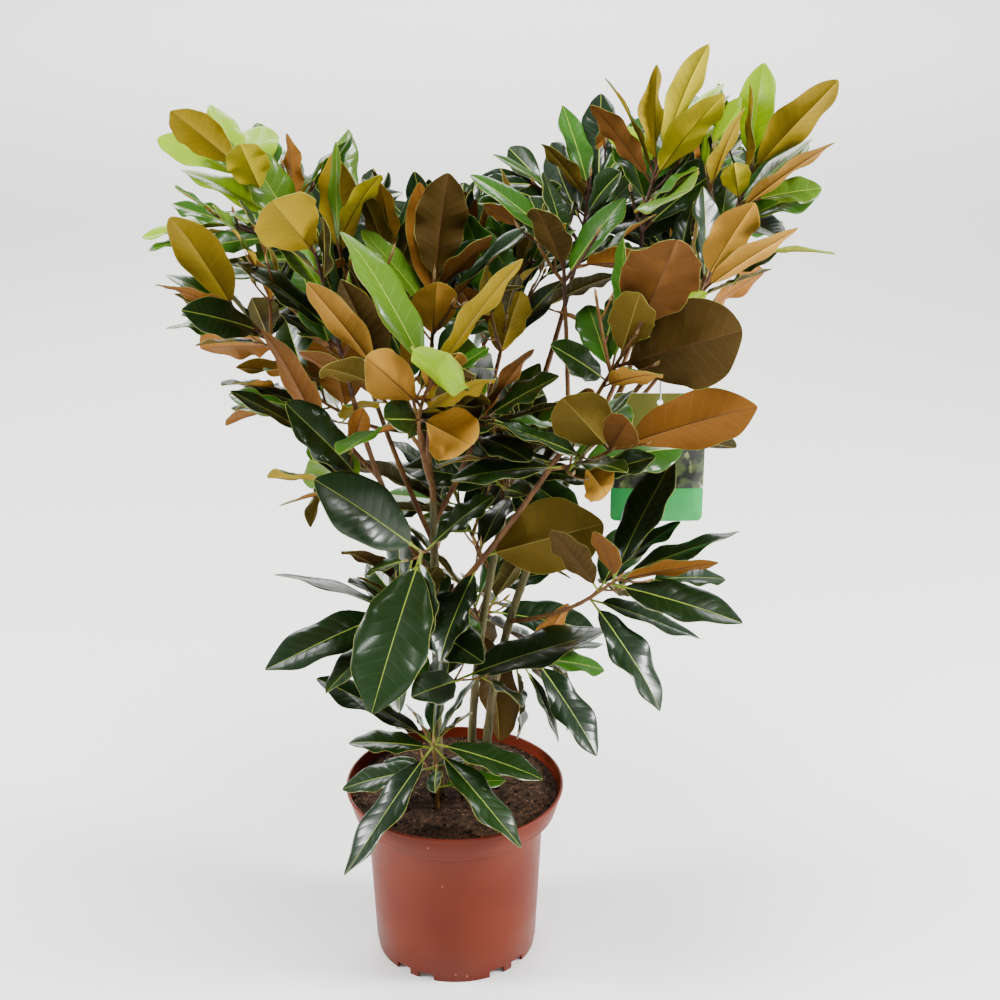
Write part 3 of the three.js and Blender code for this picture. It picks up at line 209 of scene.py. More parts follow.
# The leaves that give a mass its outline: place along its stem, bearing, rise, roll, length,
# width and tone. A tone names the two faces of a leaf, as TONES says.
LEADING = {
    "centre_front": [
        (0.95, 140, 50, 0, 165, 56, "fresh"),
        (0.97, -75, 35, 130, 92, 62, "lime"),
        (0.93, -10, 55, -30, 150, 40, "gold"),
        (0.8, 45, 15, -10, 85, 30, "mid"),
        (0.55, -120, 40, 60, 115, 46, "tan"),
        (0.35, -55, 0, -120, 88, 56, "honey"),
        (0.3, -110, 20, -70, 90, 40, "dark"),
    ],
    "low_front": [
        (0.9, -110, -40, -10, 178, 76, "dark"),
        (1, -156, 42, -70, 146, 64, "dark"),
        (0.6, 20, 35, 0, 90, 40, "dark"),
    ],
    "left_top": [
        (0.98, -130, 40, 60, 112, 40, "gold"),
        (0.9, 150, 15, -20, 120, 38, "lime"),
        (0.6, 155, 20, -20, 125, 36, "lime"),
        (1, 115, 30, 10, 92, 38, "lime"),
        (0.95, 85, 25, 20, 92, 46, "lime"),
        (0.8, -100, 45, 30, 90, 42, "yellow"),
        (0.4, 160, 65, -20, 112, 50, "fresh"),
    ],
    "left_front": [
        (0.98, -110, 40, 50, 108, 62, "gold"),
        (0.45, 175, 40, -20, 118, 44, "dark"),
    ],
    "left_far": [
        (0.95, -145, 60, 50, 128, 50, "gold"),
        (0.85, -140, 30, 30, 112, 34, "orange"),
        (0.6, -125, 25, -60, 118, 40, "dark"),
        (0.5, 105, 5, 150, 105, 44, "olive"),
        (1, 130, 5, -20, 62, 22, "lime"),
    ],
    "left_upper": [
        (0.75, 135, 85, 120, 108, 50, "gold"),
        (0.95, -45, 51, 10, 105, 36, "yellow"),
        (0.8, 114, 92, -80, 118, 24, "fresh"),
    ],
    "centre_left": [
        (0.9, -110, 75, -30, 92, 34, "honey"),
        (0.8, -165, 80, 30, 96, 32, "bronze"),
        (0.7, 70, 60, -30, 106, 36, "dark"),
    ],
    "left_mid": [
        (0.75, -177, 70, 60, 112, 50, "brown"),
        (0.85, -160, 55, 40, 118, 40, "tan"),
    ],
    "left_low": [
        (0.8, 155, 60, 80, 135, 46, "rust"),
        (0.85, 175, 30, 0, 105, 30, "dark"),
        (0.35, -145, 50, -60, 130, 50, "dark"),
        (0.25, 160, -20, 30, 108, 28, "orange"),
    ],
    "centre_top": [
        (0.9, 60, 75, -130, 112, 52, "brown"),
        (0.7, 115, 75, 160, 122, 36, "orange"),
        (0.85, -25, 45, -30, 90, 34, "rust"),
        (0.6, 155, 45, 0, 110, 44, "fresh"),
        (0.3, -80, 55, -10, 80, 46, "honey"),
    ],
    "inner": [
        (0.8, 10, 70, -40, 106, 36, "bronze"),
        (0.3, 45, 32, 0, 110, 36, "dark"),
        (0.2, -40, 70, -30, 85, 44, "gold"),
        (0.1, -110, 20, -80, 90, 36, "dark"),
    ],
    "centre_mid": [
        (0.9, -20, 35, 20, 100, 46, "dark"),
        (0.5, -60, 5, 10, 105, 42, "dark"),
    ],
    "inner_low": [
        (0.9, -132, 14, 10, 110, 44, "dark"),
        (0.7, -30, 5, -10, 105, 42, "dark"),
    ],
    "right_front": [
        (0.98, -60, 60, -40, 118, 74, "rust"),
        (0.9, 55, 30, -10, 105, 42, "mid"),
        (0.75, 30, 25, 10, 100, 34, "lime"),
        (0.5, -30, 25, -90, 150, 84, "brown"),
        (0.62, -80, 51, -20, 108, 44, "bronze"),
        (0.2, -50, 30, -40, 125, 38, "tan"),
        (0.4, 100, 20, -10, 112, 40, "mid"),
        (0.3, -135, 35, -80, 95, 34, "dark"),
    ],
    "right_mid": [
        (0.95, -155, 50, 70, 80, 60, "bronze"),
        (0.9, -70, 45, -40, 70, 40, "rust"),
        (0.98, -25, 25, -70, 158, 60, "orange"),
        (0.5, -80, 5, -130, 98, 40, "honey"),
        (0.3, -65, 10, 10, 120, 34, "dark"),
        (0.6, 175, 20, -10, 105, 42, "dark"),
        (0.2, 187, -4, -10, 112, 46, "dark"),
    ],
    "right_inner": [
        (0.35, 40, 35, -10, 112, 38, "mid"),
        (0.8, 160, 35, -10, 115, 38, "mid"),
        (0.85, 105, 35, 30, 92, 36, "dark"),
        (0.5, -115, 50, 0, 105, 40, "brown"),
    ],
    "inner_top": [
        (0.85, 120, 55, 10, 95, 38, "mid"),
        (0.75, -145, 50, 10, 90, 36, "bronze"),
        (0.6, -175, 35, -10, 116, 24, "gold"),
    ],
    "right_top": [
        (1, -10, 70, -40, 120, 36, "yellow"),
        (0.97, 25, 45, 10, 100, 44, "lime"),
        (0.8, -45, 50, -30, 128, 42, "yellow"),
        (0.92, -50, 92, 20, 100, 50, "gold"),
        (0.85, 160, 62, 30, 106, 30, "gold"),
        (0.78, 175, 60, 50, 98, 34, "rust"),
        (0.95, 130, 15, -20, 82, 32, "lime"),
        (0.55, 105, 35, 20, 100, 42, "mid"),
    ],
    "right_far_top": [
        (0.98, 70, 70, -20, 102, 40, "lime"),
        (0.92, -20, 50, -50, 128, 48, "gold"),
        (0.65, -25, 40, -30, 125, 32, "tan"),
        (0.8, 95, 92, 90, 108, 34, "gold"),
        (0.75, -105, 45, 10, 70, 30, "yellow"),
    ],
    "right_far_mid": [
        (0.9, -35, 60, -40, 98, 46, "honey"),
        (0.75, -30, 38, -40, 122, 40, "honey"),
        (0.85, 90, 60, 50, 95, 40, "dark"),
        (0.6, 77, 25, -50, 110, 40, "mid"),
    ],
    "right_low": [
        (0.95, -135, 65, 10, 70, 34, "rust"),
        (0.9, 45, 50, -10, 140, 54, "dark"),
        (0.98, 5, 20, 10, 132, 42, "dark"),
        (0.92, -27, 21, -50, 118, 30, "orange"),
        (0.85, -30, -3, 30, 145, 50, "dark"),
        (0.6, -170, 55, 60, 88, 38, "brown"),
        (0.35, -40, -45, 10, 135, 52, "dark"),
    ],
    "right_leaf": [
        (0.6, -115, -35, 10, 118, 44, "dark"),
        (0.95, -35, 25, -100, 150, 80, "bronze"),
    ],
    "low_left": [
        (0.98, -155, -15, -20, 152, 62, "dark"),
        (0.6, -135, -10, 0, 125, 46, "dark"),
        (0.9, 170, 15, 10, 140, 40, "dark"),
    ],
    "low_middle": [
        (0.8, 5, 25, 10, 168, 74, "dark"),
        (0.4, 90, -5, 0, 90, 40, "dark"),
        (0.95, -120, 15, -50, 95, 40, "dark"),
    ],
    "low_right": [
        (0.95, -40, -45, 10, 128, 48, "dark"),
        (0.6, -50, -50, -30, 95, 30, "dark"),
        (0.8, 25, -20, 10, 100, 40, "mid"),
    ],
    "sprout": [
        (0.9, -180, 5, -10, 92, 40, "dark"),
        (0.95, -135, -40, 0, 165, 48, "dark"),
        (0.98, -10, -15, 10, 122, 44, "dark"),
        (0.93, -30, -35, 10, 142, 44, "dark"),
        (0.6, 175, -25, -10, 108, 44, "dark"),
        (0.95, 65, 77, -40, 102, 42, "dark"),
        (0.97, 165, 25, 10, 144, 50, "dark"),
        (0.93, 35, 48, -30, 96, 34, "mid"),
        (0.8, 122, 30, 60, 70, 30, "mid"),
    ],
}

TWIG = dict(
    stem_radius=[2.3, 1.6], radius=[2, 1.4], start=0.2, spread=0.3, turn=200, turn_step=140,
    turn_spread=40, length=0.55, length_spread=0.2, lift=0.5, leaves=5, leaf_turn=90,
    leaf_scale=0.9, first_leaf=0.35, clear=6, root_part=0.3,
)
RULE = dict(
    seed=100, golden=137.5, first_leaf=0.3, crowding=0.75, lean_power=1.2, turn_spread=24,
    lean_spread=16, basal_size=1.06, size_loss=0.3, smallest=0.88, size_spread=0.24, width=0.38,
    width_spread=0.1, sag=0.16, roll_spread=70, curl=6, curl_spread=20, fold=8, fold_spread=10,
    low_from=700, low_over=200, low_up=1.2, up=0.15, low_axis=0.6, inward=0.75,
    crown_axis=[20, 0],
)
LEADING_TRIES = [
    (0, 0, 1), (8, 0, 1), (-8, 0, 1), (0, 8, 1), (0, -8, 1), (14, 6, 0.94), (-14, 6, 0.94),
    (14, -6, 0.94), (-14, -6, 0.94), (0, 14, 0.9), (20, 0, 0.88), (-20, 0, 0.88),
]
RULE_TRIES = [
    (0, 0, 1), (18, -6, 1), (-18, 6, 1), (34, -12, 0.95), (-34, 12, 0.95), (10, -15, 0.82),
    (-10, 10, 0.75), (50, -10, 0.85), (-50, 10, 0.85), (25, -25, 0.8), (-25, -25, 0.8),
]
LEAF = dict(
    petiole=0.12, stalk_width=0.05, rise_power=0.72, fall_power=0.62, widest=0.537,
    leading_curl=14, leading_fold=12,
)
TEST = dict(
    rows=14, columns=7, first=0.1, last=0.98, half=0.95, root=0.3, limb_step=5, limb_clear=6.5,
    own_stem_clear=2.5, leaf_clear=6, own_leaf_clear=4, near_limb=14, rim_clear=7, rim_over=5,
    soil_over=4, label_clear=7,
)

# The leading leaves draw the crown as it is seen along `along`. On a grid of `cell` across, a
# leaf of the rule may have a part of `hides` before them and a part of `past` beside them.
FRONT = dict(along=[0, 0.92, -0.392], cell=12, hides=0.12, past=0.24)

# Gaps of the front view that finer growth keeps open, the label's top among them: across,
# upward and radius. A leaf of the rule with a part of more than COVERS in one is left out.
OPENINGS = [
    (296, 602, 36), (-176, 564, 30), (124, 894, 22), (-163, 878, 20), (-266, 806, 18),
    (202, 600, 22), (-120, 389, 22), (10, 443, 26), (3, 503, 18), (44, 829, 13), (90, 862, 20),
    (98, 652, 20),
]
COVERS = 0.2

# Finer growth that the solids leave out: short spurs with a few small leaves, which keep
# inside the box of their own mass and stay clear of what is there by `ease` of TEST's spaces.
SPUR = dict(
    seed=500, places=[0.3, 0.5, 0.68, 0.86, 1.0], turn=65, turn_step=150, turn_spread=60,
    length=16, length_spread=22, lean=48, rise=0.25, radius=[1.3, 0.9], leaves=3, first_leaf=0.7,
    size=0.62, size_spread=0.3, ease=0.62, box_over=6,
    foot_reach=0.4,      # a leaf's foot is within this part of the spur's length of its end
    foot_over=2,
)

LABEL = dict(
    on="bough_right_far", at=0.58, drop=49, width=96, height=142, thickness=1, corner=6,
    hole_radius=3, hole_below_top=10, cord_radius=0.7, ring_radius=4.4, ring_over=7.6,
)

UP = np.array([0.0, 0.0, 1.0])

# -------------------- growth


def chance(seed):
    """Same numbers in the same order for the same seed, between 0 and 1."""
    state = ((seed + 1) * 2654435761) & 0xFFFFFFFF

    def draw():
        nonlocal state
        state = (state * 1664525 + 1013904223) & 0xFFFFFFFF
        return state / 4294967296

    for _ in range(3):
        draw()
    return draw


def unit(v):
    return v / math.sqrt(v @ v)


def turned(v, axis, degrees):
    """Turns v about a unit axis."""
    c, s = math.cos(math.radians(degrees)), math.sin(math.radians(degrees))
    return v * c + np.cross(axis, v) * s + axis * (axis @ v) * (1 - c)


def side_of(axis):
    """The direction square to `axis` that lies nearest to +X (or +Y along X)."""
    side = np.array([1.0, 0, 0]) - axis * axis[0]
    if side @ side < 0.04:
        side = np.array([0, 1.0, 0]) - axis * axis[1]
    return unit(side)


class Curve:
    """A quadratic Bezier curve through three points."""

    def __init__(self, start, control, end):
        self.start, self.control, self.end = start, control, end

    def point(self, t):
        return self.start * (1 - t) ** 2 + self.control * 2 * t * (1 - t) + self.end * t * t

    def heading(self, t):
        return unit((self.control - self.start) * (1 - t) + (self.end - self.control) * t)

    def span(self):
        return math.sqrt((self.end - self.start) @ (self.end - self.start))


def curve_of(row, curves):
    tip = np.array(row["tip"], float)
    if "start" in row:
        start = np.array(row["start"], float)
        return Curve(start, start + UP * BEND["ground"] * (tip[2] - start[2]), tip)
    parent = curves[row["on"]]
    start = parent.point(row["at"])
    if row["at"] == 1:
        along = parent.heading(1)
        start = start + along * GAP
        reach = math.sqrt((tip - start) @ (tip - start))
        return Curve(start, start + along * BEND["onward"] * reach, tip)
    outward = tip - start
    outward[2] = 0
    outward = unit(outward) - UP
    bow = row.get("bow", BEND["bow"])
    return Curve(start, (start + tip) / 2 + outward * BEND["side"] * bow, tip)


def taper(radius):
    return lambda t: radius[0] + (radius[1] - radius[0]) * t


def limb_radius(row):
    plain = taper(row["radius"])
    flare = row.get("flare", 0)
    return lambda t: plain(t) + flare * max(0, 1 - t / FLARE_LENGTH) ** 2


def blade_part(s):
    """Place along the blade alone, from 0 at the end of the stalk to 1 at the tip."""
    return np.clip((s - LEAF["petiole"]) / (1 - LEAF["petiole"]), 0, 1)


def outline(s):
    """Half width of a leaf at each place from foot to tip, as a part of its widest."""
    u = blade_part(s)
    rise, fall, widest = LEAF["rise_power"], LEAF["fall_power"], LEAF["widest"]
    shape = u ** rise * (1 - u) ** fall / (widest ** rise * (1 - widest) ** fall)
    return np.where(s <= LEAF["petiole"], LEAF["stalk_width"], shape)


def on_arc(leaf, s, across, off):
    """Points beside the leaf's arc: across the blade and off its face, at each place s."""
    arc = math.radians(leaf["curl"])
    chord = leaf["length"] / (2 * math.sin(arc / 2))
    ahead = chord * (math.sin(arc / 2) + np.sin(arc * s - arc / 2))
    raised = chord * (np.cos(arc * s - arc / 2) - math.cos(arc / 2))
    tilt = arc * (0.5 - s)
    along = ahead - np.sin(tilt) * off
    out = raised + np.cos(tilt) * off
    return (leaf["base"] + along[..., None] * leaf["along"] + out[..., None] * leaf["face"]
            + across[..., None] * leaf["side"])


def test_grid():
    rows = np.linspace(TEST["first"], TEST["last"], TEST["rows"])
    columns = TEST["half"] * np.linspace(-1, 1, TEST["columns"])
    s, w = np.meshgrid(rows, columns, indexing="ij")
    return s.ravel(), w.ravel()


TEST_S, TEST_W = test_grid()
ROOT_POINTS = int((TEST_S < TEST["root"]).sum())


def front_cells(points):
    """Cell and depth of each point in the front view."""
    across = np.array([1.0, 0, 0])
    along = np.array(FRONT["along"])
    upward = np.array([0, -along[2], along[1]])
    return zip(np.floor(points @ across / FRONT["cell"]).astype(int).tolist(),
               np.floor(points @ upward / FRONT["cell"]).astype(int).tolist(),
               (points @ along).tolist())


def fills_opening(points):
    """Whether a leaf would close one of the gaps of the front view."""
    across = points[:, 0]
    upward = points @ np.array([0, -FRONT["along"][2], FRONT["along"][1]])
    return any((np.hypot(across - x, upward - up) < radius).mean() > COVERS
               for x, up, radius in OPENINGS)


def measured(leaf):
    """Test points of a leaf, with their middle and reach."""
    half = leaf["width"] / 2 * outline(TEST_S)
    fold = math.radians(leaf["fold"])
    across = TEST_W * half * math.cos(fold)
    points = on_arc(leaf, TEST_S, across, np.abs(TEST_W) * half * math.sin(fold))
    centre = points.mean(axis=0)
    reach = math.sqrt(((points - centre) ** 2).sum(axis=1).max())
    return dict(points=points, centre=centre, reach=reach)


def in_pot(points):
    """Whether a leaf would touch the soil or the pot's rim."""
    radius = np.hypot(points[:, 0], points[:, 1])
    top = np.where(radius > POT["body_radius"], POT["height"] + TEST["rim_over"],
                   GROUND + TEST["soil_over"])
    near = radius <= POT["rim_radius"] + TEST["rim_clear"]
    return bool((near & (points[:, 2] < top)).any())


class Room:
    """What is there already: the pot, the label, marks along the limbs, and the leaves."""

    def __init__(self):
        self.points, self.radii, self.owners = [], [], []
        self.placed = []
        self.hole = None

    def mark(self, owner, curve, radius):
        steps = max(4, math.ceil(curve.span() / TEST["limb_step"]))
        for i in range(steps + 1):
            self.points.append(curve.point(i / steps))
            self.radii.append(radius(i / steps))
            self.owners.append(owner)

    def at_label(self, points):
        clear = TEST["label_clear"]
        x, y, z = self.hole
        top = z + LABEL["hole_below_top"] + LABEL["drop"]
        bottom = z + LABEL["hole_below_top"] - LABEL["height"] - clear
        beside = np.abs(points[:, 0] - x) < LABEL["width"] / 2 + clear
        level = (points[:, 2] < top) & (points[:, 2] > bottom)
        return bool((beside & level & (np.abs(points[:, 1] - y) < clear)).any())

    def freeze(self):
        """Turns the marks into arrays, once no limb is added any more."""
        self.at = np.array(self.points)
        self.thick = np.array(self.radii)
        self.names = np.array(self.owners)

    def draw_front(self):
        """Notes how far back the leading leaves stand in each cell of the front view."""
        self.front, self.beside = {}, set()
        for other in self.placed:
            for i, j, depth in front_cells(other["points"]):
                self.front[i, j] = min(depth, self.front.get((i, j), depth))
                self.beside.update((i + k, j + m) for k in (-1, 0, 1) for m in (-1, 0, 1))

    def spoils_front(self, shape):
        """Whether a leaf would hide the leading leaves, or stand out past them."""
        hides = past = 0
        for i, j, depth in front_cells(shape["points"]):
            hides += depth < self.front.get((i, j), -math.inf)
            past += (i, j) not in self.beside
        total = len(shape["points"])
        return hides > FRONT["hides"] * total or past > FRONT["past"] * total

    def blocked(self, shape, mass, ease=1.0):
        """Whether a leaf would touch the pot, the label, a limb or an earlier leaf."""
        points, centre, reach = shape["points"], shape["centre"], shape["reach"]
        if in_pot(points) or self.at_label(points):
            return True
        away = np.sqrt(((self.at - centre) ** 2).sum(axis=1))
        near = np.nonzero(away <= reach + TEST["near_limb"])[0]
        if len(near):
            own = self.names[near] == mass["name"]
            kin = own | (self.names[near] == mass.get("on"))
            clear = np.where(own, TEST["own_stem_clear"], self.thick[near] + TEST["limb_clear"])
            clear = clear * ease
            gaps = ((points[:, None] - self.at[near][None]) ** 2).sum(axis=2)
            gaps[:ROOT_POINTS, kin] = np.inf
            if (gaps < clear ** 2).any():
                return True
        for other in self.placed:
            own = other["mass"] == mass["name"]
            clear = (TEST["own_leaf_clear"] if own else TEST["leaf_clear"]) * ease
            apart = other["centre"] - centre
            if math.sqrt(apart @ apart) > reach + other["reach"] + clear:
                continue
            skip = ROOT_POINTS if own else 0
            a, b = points[skip:], other["points"][skip:]
            gaps = ((a * a).sum(axis=1)[:, None] + (b * b).sum(axis=1)[None] - 2 * a @ b.T)
            if gaps.min() < clear ** 2:
                return True
        return False


def shoots_of(mass, index, stem, room):
    """The stem of a mass and the side twigs that find room beside it."""
    draw = chance(index)
    shoots = [dict(curve=stem, leaves=mass["leaves"], turn=mass["turn"], scale=1,
                   first=RULE["first_leaf"], radius=TWIG["stem_radius"])]
    for j in range(mass["twigs"]):
        place, swing, size = draw(), draw(), draw()
        t = TWIG["start"] + TWIG["spread"] * place
        axis = stem.heading(t)
        bearing = (mass["turn"] + TWIG["turn"] + TWIG["turn_step"] * j
                   + TWIG["turn_spread"] * swing)
        out = unit(axis + turned(side_of(axis), axis, bearing))
        length = stem.span() * (TWIG["length"] + TWIG["length_spread"] * size)
        start = stem.point(t)
        control = start + out * length / 2
        curve = Curve(start, control, control + unit(out + UP * TWIG["lift"]) * length / 2)
        before = len(room.points)
        room.mark(mass["name"], curve, taper(TWIG["radius"]))
        own = room.points[before:]
        tested = own[math.ceil(len(own) * TWIG["root_part"]):]
        meets = any(
            room.owners[i] != mass["name"]
            and math.dist(room.points[i], point) < room.radii[i] + TWIG["clear"]
            for i in range(before) for point in tested)
        if meets:
            del room.points[before:], room.radii[before:], room.owners[before:]
            continue
        shoots.append(dict(curve=curve, leaves=TWIG["leaves"],
                           turn=mass["turn"] + TWIG["leaf_turn"], scale=TWIG["leaf_scale"],
                           first=TWIG["first_leaf"], radius=TWIG["radius"]))
    return shoots


def leading_leaf(stem, row, change):
    place, bearing, rise, roll, length, width, tone = row
    more_bearing, more_rise, scale = change
    flat = turned(np.array([1.0, 0, 0]), UP, bearing + more_bearing)
    slope = math.radians(rise + more_rise)
    along = flat * math.cos(slope) + UP * math.sin(slope)
    face = turned(UP * math.cos(slope) - flat * math.sin(slope), along, roll)
    return dict(base=stem.point(place), along=along, face=face, side=np.cross(along, face),
                length=length * scale, width=width * scale, curl=LEAF["leading_curl"],
                fold=LEAF["leading_fold"], tone=tone, leading=True)


def rule_leaf(mass, shoot, k, draws, change):
    """Leaf k of a shoot; its six draws are taken whether or not it finds room."""
    turn, lean, size, girth, roll, curl = draws
    more_turn, more_lean, scale = change
    f = k / max(1, shoot["leaves"] - 1)
    t = shoot["first"] + (1 - shoot["first"]) * f ** RULE["crowding"]
    axis = shoot["curve"].heading(t)
    base = shoot["curve"].point(t)
    bearing = shoot["turn"] + RULE["golden"] * k + (turn - 0.5) * RULE["turn_spread"]
    angle = (mass["low"] + (mass["top"] - mass["low"]) * f ** RULE["lean_power"]
             + (lean - 0.5) * RULE["lean_spread"])
    length = (mass["size"] * shoot["scale"] * (RULE["basal_size"] - RULE["size_loss"] * f * f)
              * (RULE["smallest"] + RULE["size_spread"] * size))
    out = turned(side_of(axis), axis, bearing + more_turn)
    slant = math.radians(angle + more_lean)
    along = unit(axis * math.cos(slant) + out * math.sin(slant) - UP * RULE["sag"] * (1 - f))
    low = min(1, max(0, (RULE["low_from"] - base[2]) / RULE["low_over"]))
    x, y = RULE["crown_axis"]
    inward = unit(np.array([x - base[0], y - base[1], 0]))
    toward = (axis * (1 - RULE["low_axis"] * low) + UP * (RULE["up"] + RULE["low_up"] * low)
              + inward * RULE["inward"] * (1 - low))
    square = unit(toward - along * (toward @ along))
    face = turned(square, along, (roll - 0.5) * RULE["roll_spread"])
    return dict(base=base, along=along, face=face, side=np.cross(along, face),
                length=length * scale,
                width=length * scale * (RULE["width"] + RULE["width_spread"] * girth),
                curl=RULE["curl"] + RULE["curl_spread"] * curl * (1 - f / 2),
                fold=RULE["fold"] + RULE["fold_spread"] * roll, tone=None, leading=False)


def place_leaf(room, mass, tries, make, ease=1.0, box=None):
    """Adds the first try that finds room; True where one did."""
    for change in tries:
        leaf = make(change)
        shape = measured(leaf)
        if box is not None:
            if (shape["points"] < box[0]).any() or (shape["points"] > box[1]).any():
                continue
        if not leaf["leading"] and room.spoils_front(shape):
            continue
        if room.blocked(shape, mass, ease):
            continue
        room.placed.append(dict(mass=mass["name"], leaf=leaf, **shape))
        return True
    return False


def grow_leaves(stems, shoots, room):
    """Places every leaf: the leading ones of all masses first, then the rest by the rule."""
    for mass in MASSES:
        for row in LEADING.get(mass["name"], []):
            stem = stems[mass["name"]]
            place_leaf(room, mass, LEADING_TRIES, lambda change: leading_leaf(stem, row, change))
    room.draw_front()
    for index, mass in enumerate(MASSES):
        draw = chance(RULE["seed"] + index)
        for shoot in shoots[mass["name"]]:
            for k in range(shoot["leaves"]):
                draws = [draw() for _ in range(6)]
                place_leaf(room, mass, RULE_TRIES,
                           lambda change: rule_leaf(mass, shoot, k, draws, change))


def spur_of(shoot, place, bearing, size):
    """A short side shoot at a place of a longer one, with room for a few small leaves."""
    axis = shoot["curve"].heading(place)
    out = turned(side_of(axis), axis, bearing)
    lean = math.radians(SPUR["lean"])
    along = unit(axis * math.cos(lean) + out * math.sin(lean))
    length = SPUR["length"] + SPUR["length_spread"] * size
    start = shoot["curve"].point(place)
    end = start + along * length + UP * length * SPUR["rise"]
    return dict(curve=Curve(start, start + along * length / 2, end), leaves=SPUR["leaves"],
                scale=SPUR["size"] + SPUR["size_spread"] * size, first=SPUR["first_leaf"],
                radius=SPUR["radius"])


def grow_spurs(shoots, room):
    """Adds spurs with small leaves in the room that is left, and returns them."""
    spurs = []
    for index, mass in enumerate(MASSES):
        draw = chance(SPUR["seed"] + index)
        low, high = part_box("leaves_" + mass["name"])
        box = (np.array(low) / MM - SPUR["box_over"], np.array(high) / MM + SPUR["box_over"])
        for shoot in shoots[mass["name"]]:
            for j, place in enumerate(SPUR["places"]):
                swing, size = draw(), draw()
                bearing = (shoot["turn"] + SPUR["turn"] + SPUR["turn_step"] * j
                           + SPUR["turn_spread"] * swing)
                spur = spur_of(shoot, place, bearing, size)
                spur["turn"] = 360 * swing
                found = 0
                for k in range(spur["leaves"]):
                    draws = [draw() for _ in range(6)]
                    found += place_leaf(room, mass, RULE_TRIES,
                                        lambda change: rule_leaf(mass, spur, k, draws, change),
                                        SPUR["ease"], box)
                if found:
                    spurs.append(spur)
    return spurs


# -------------------- joined meshes


class Rows:
    """Points and faces of many small shapes, gathered for one joined mesh."""

    def __init__(self):
        self.points, self.faces, self.kinds, self.count = [], [], [], 0

    def add(self, points, faces, kinds):
        """`faces` has four corners a row, with -1 last for a triangle."""
        self.points.append(points)
        self.faces.append(np.where(faces < 0, -1, faces + self.count))
        self.kinds.append(kinds)
        self.count += len(points)


def joined_piece(name, rows, finishes):
    """One mesh object from gathered rows; each face's kind is a number in KINDS."""
    points = np.concatenate(rows.points) * MM
    faces = np.concatenate(rows.faces)
    kinds = np.concatenate(rows.kinds)
    used = sorted(set(kinds.tolist()))
    totals = (faces >= 0).sum(axis=1)
    starts = np.concatenate([[0], np.cumsum(totals)[:-1]])
    mesh = bpy.data.meshes.new(name)
    mesh.vertices.add(len(points))
    mesh.vertices.foreach_set("co", points.ravel())
    mesh.loops.add(int(totals.sum()))
    mesh.loops.foreach_set("vertex_index", faces[faces >= 0])
    mesh.polygons.add(len(faces))
    mesh.polygons.foreach_set("loop_start", starts)
    mesh.polygons.foreach_set("use_smooth", np.ones(len(faces), bool))
    mesh.polygons.foreach_set("material_index", np.searchsorted(used, kinds))
    for kind in used:
        mesh.materials.append(finishes[KINDS[kind]])
    mesh.update(calc_edges=True)
    piece = bpy.data.objects.new(name, mesh)
    bpy.context.collection.objects.link(piece)
    return piece


# -------------------- leaves

# For each tone, the colour of a leaf's top, then its underside with the rib and veins there.
TONES = {
    "dark": ("dark", "olive", "straw", "straw"),
    "deep": ("deep", "brown", "straw", "straw"),
    "mid": ("mid", "orange", "rust", "tan"),
    "fresh": ("fresh", "gold", "rust", "tan"),
    "lime": ("lime", "lime", "straw", "lime"),
    "gold": ("mid", "gold", "gold", "gold"),
    "yellow": ("fresh", "yellow", "gold", "gold"),
    # This tone's underside is the tan one made brighter: painted light on a tan leaf.
    "honey": ("mid", "honey", "gold", "gold"),
    "tan": ("mid", "tan", "rust", "tan"),
    "orange": ("dark", "orange", "rust", "tan"),
    "bronze": ("dark", "bronze", "straw", "brown"),
    "rust": ("deep", "rust", "rust", "brown"),
    "brown": ("deep", "brown", "rust", "brown"),
    "olive": ("dark", "olive", "straw", "straw"),
}
# Colour of the veins on a top of each colour.
TOP_VEINS = dict(dark="dark", deep="dark", mid="mid", fresh="fresh", lime="fresh")

# Hex colours of the finishes: leaves, loose bits of peat, then bark's ground, patches, streaks.
LEAF_TOPS = dict(
    top_dark="122a06", top_deep="0c2208", top_mid="2a540c", top_fresh="4a6c10", top_lime="80a200",
)
LEAF_UNDERS = dict(
    under_orange="7e5018", under_rust="643e14", under_brown="42300c", under_gold="8a720e",
    # Among these, a brighter copy of the tan underside is painted light: tan as it looks where light
    # falls on it.
    under_yellow="b8a61c", under_honey="ba862e", under_tan="986c24", under_bronze="5a480e",
    under_olive="37300a", under_lime="8c9414",
)
LEAF_LINES = dict(
    rib_light="8c9e38", rib_lime="90a424", rib_rust="4e2c0c", rib_gold="6e5a0e",
    rib_straw="82722a", vein_dark="20400f", vein_mid="386418", vein_fresh="64882a",
    vein_tan="86581e", vein_gold="947e18", vein_brown="4b3710", vein_straw="423a0e",
    vein_lime="9eaa28", margin="8a8c3a", stalk_green="7c8a28", stalk_brown="54321a",
)
CRUMB_COLOURS = dict(peat_dark="1c130e", peat_brown="43301f", peat_straw="6d5236")
BARK_COLOURS = dict(
    bark_olive=("4a4720", "605634", "2c2a16"), bark_red=("522e0e", "6a4618", "321808"),
    twig_red=("5c3410", "70501c", "40200a"), twig_dark=("3a1e16", "4c3022", "20100c"),
)

# Finishes of the joined meshes: a face's kind is a number in this list.
KINDS = [*LEAF_TOPS, *LEAF_UNDERS, *LEAF_LINES, "twig_red", "twig_dark", "bud", *CRUMB_COLOURS]
KIND = {name: number for number, name in enumerate(KINDS)}

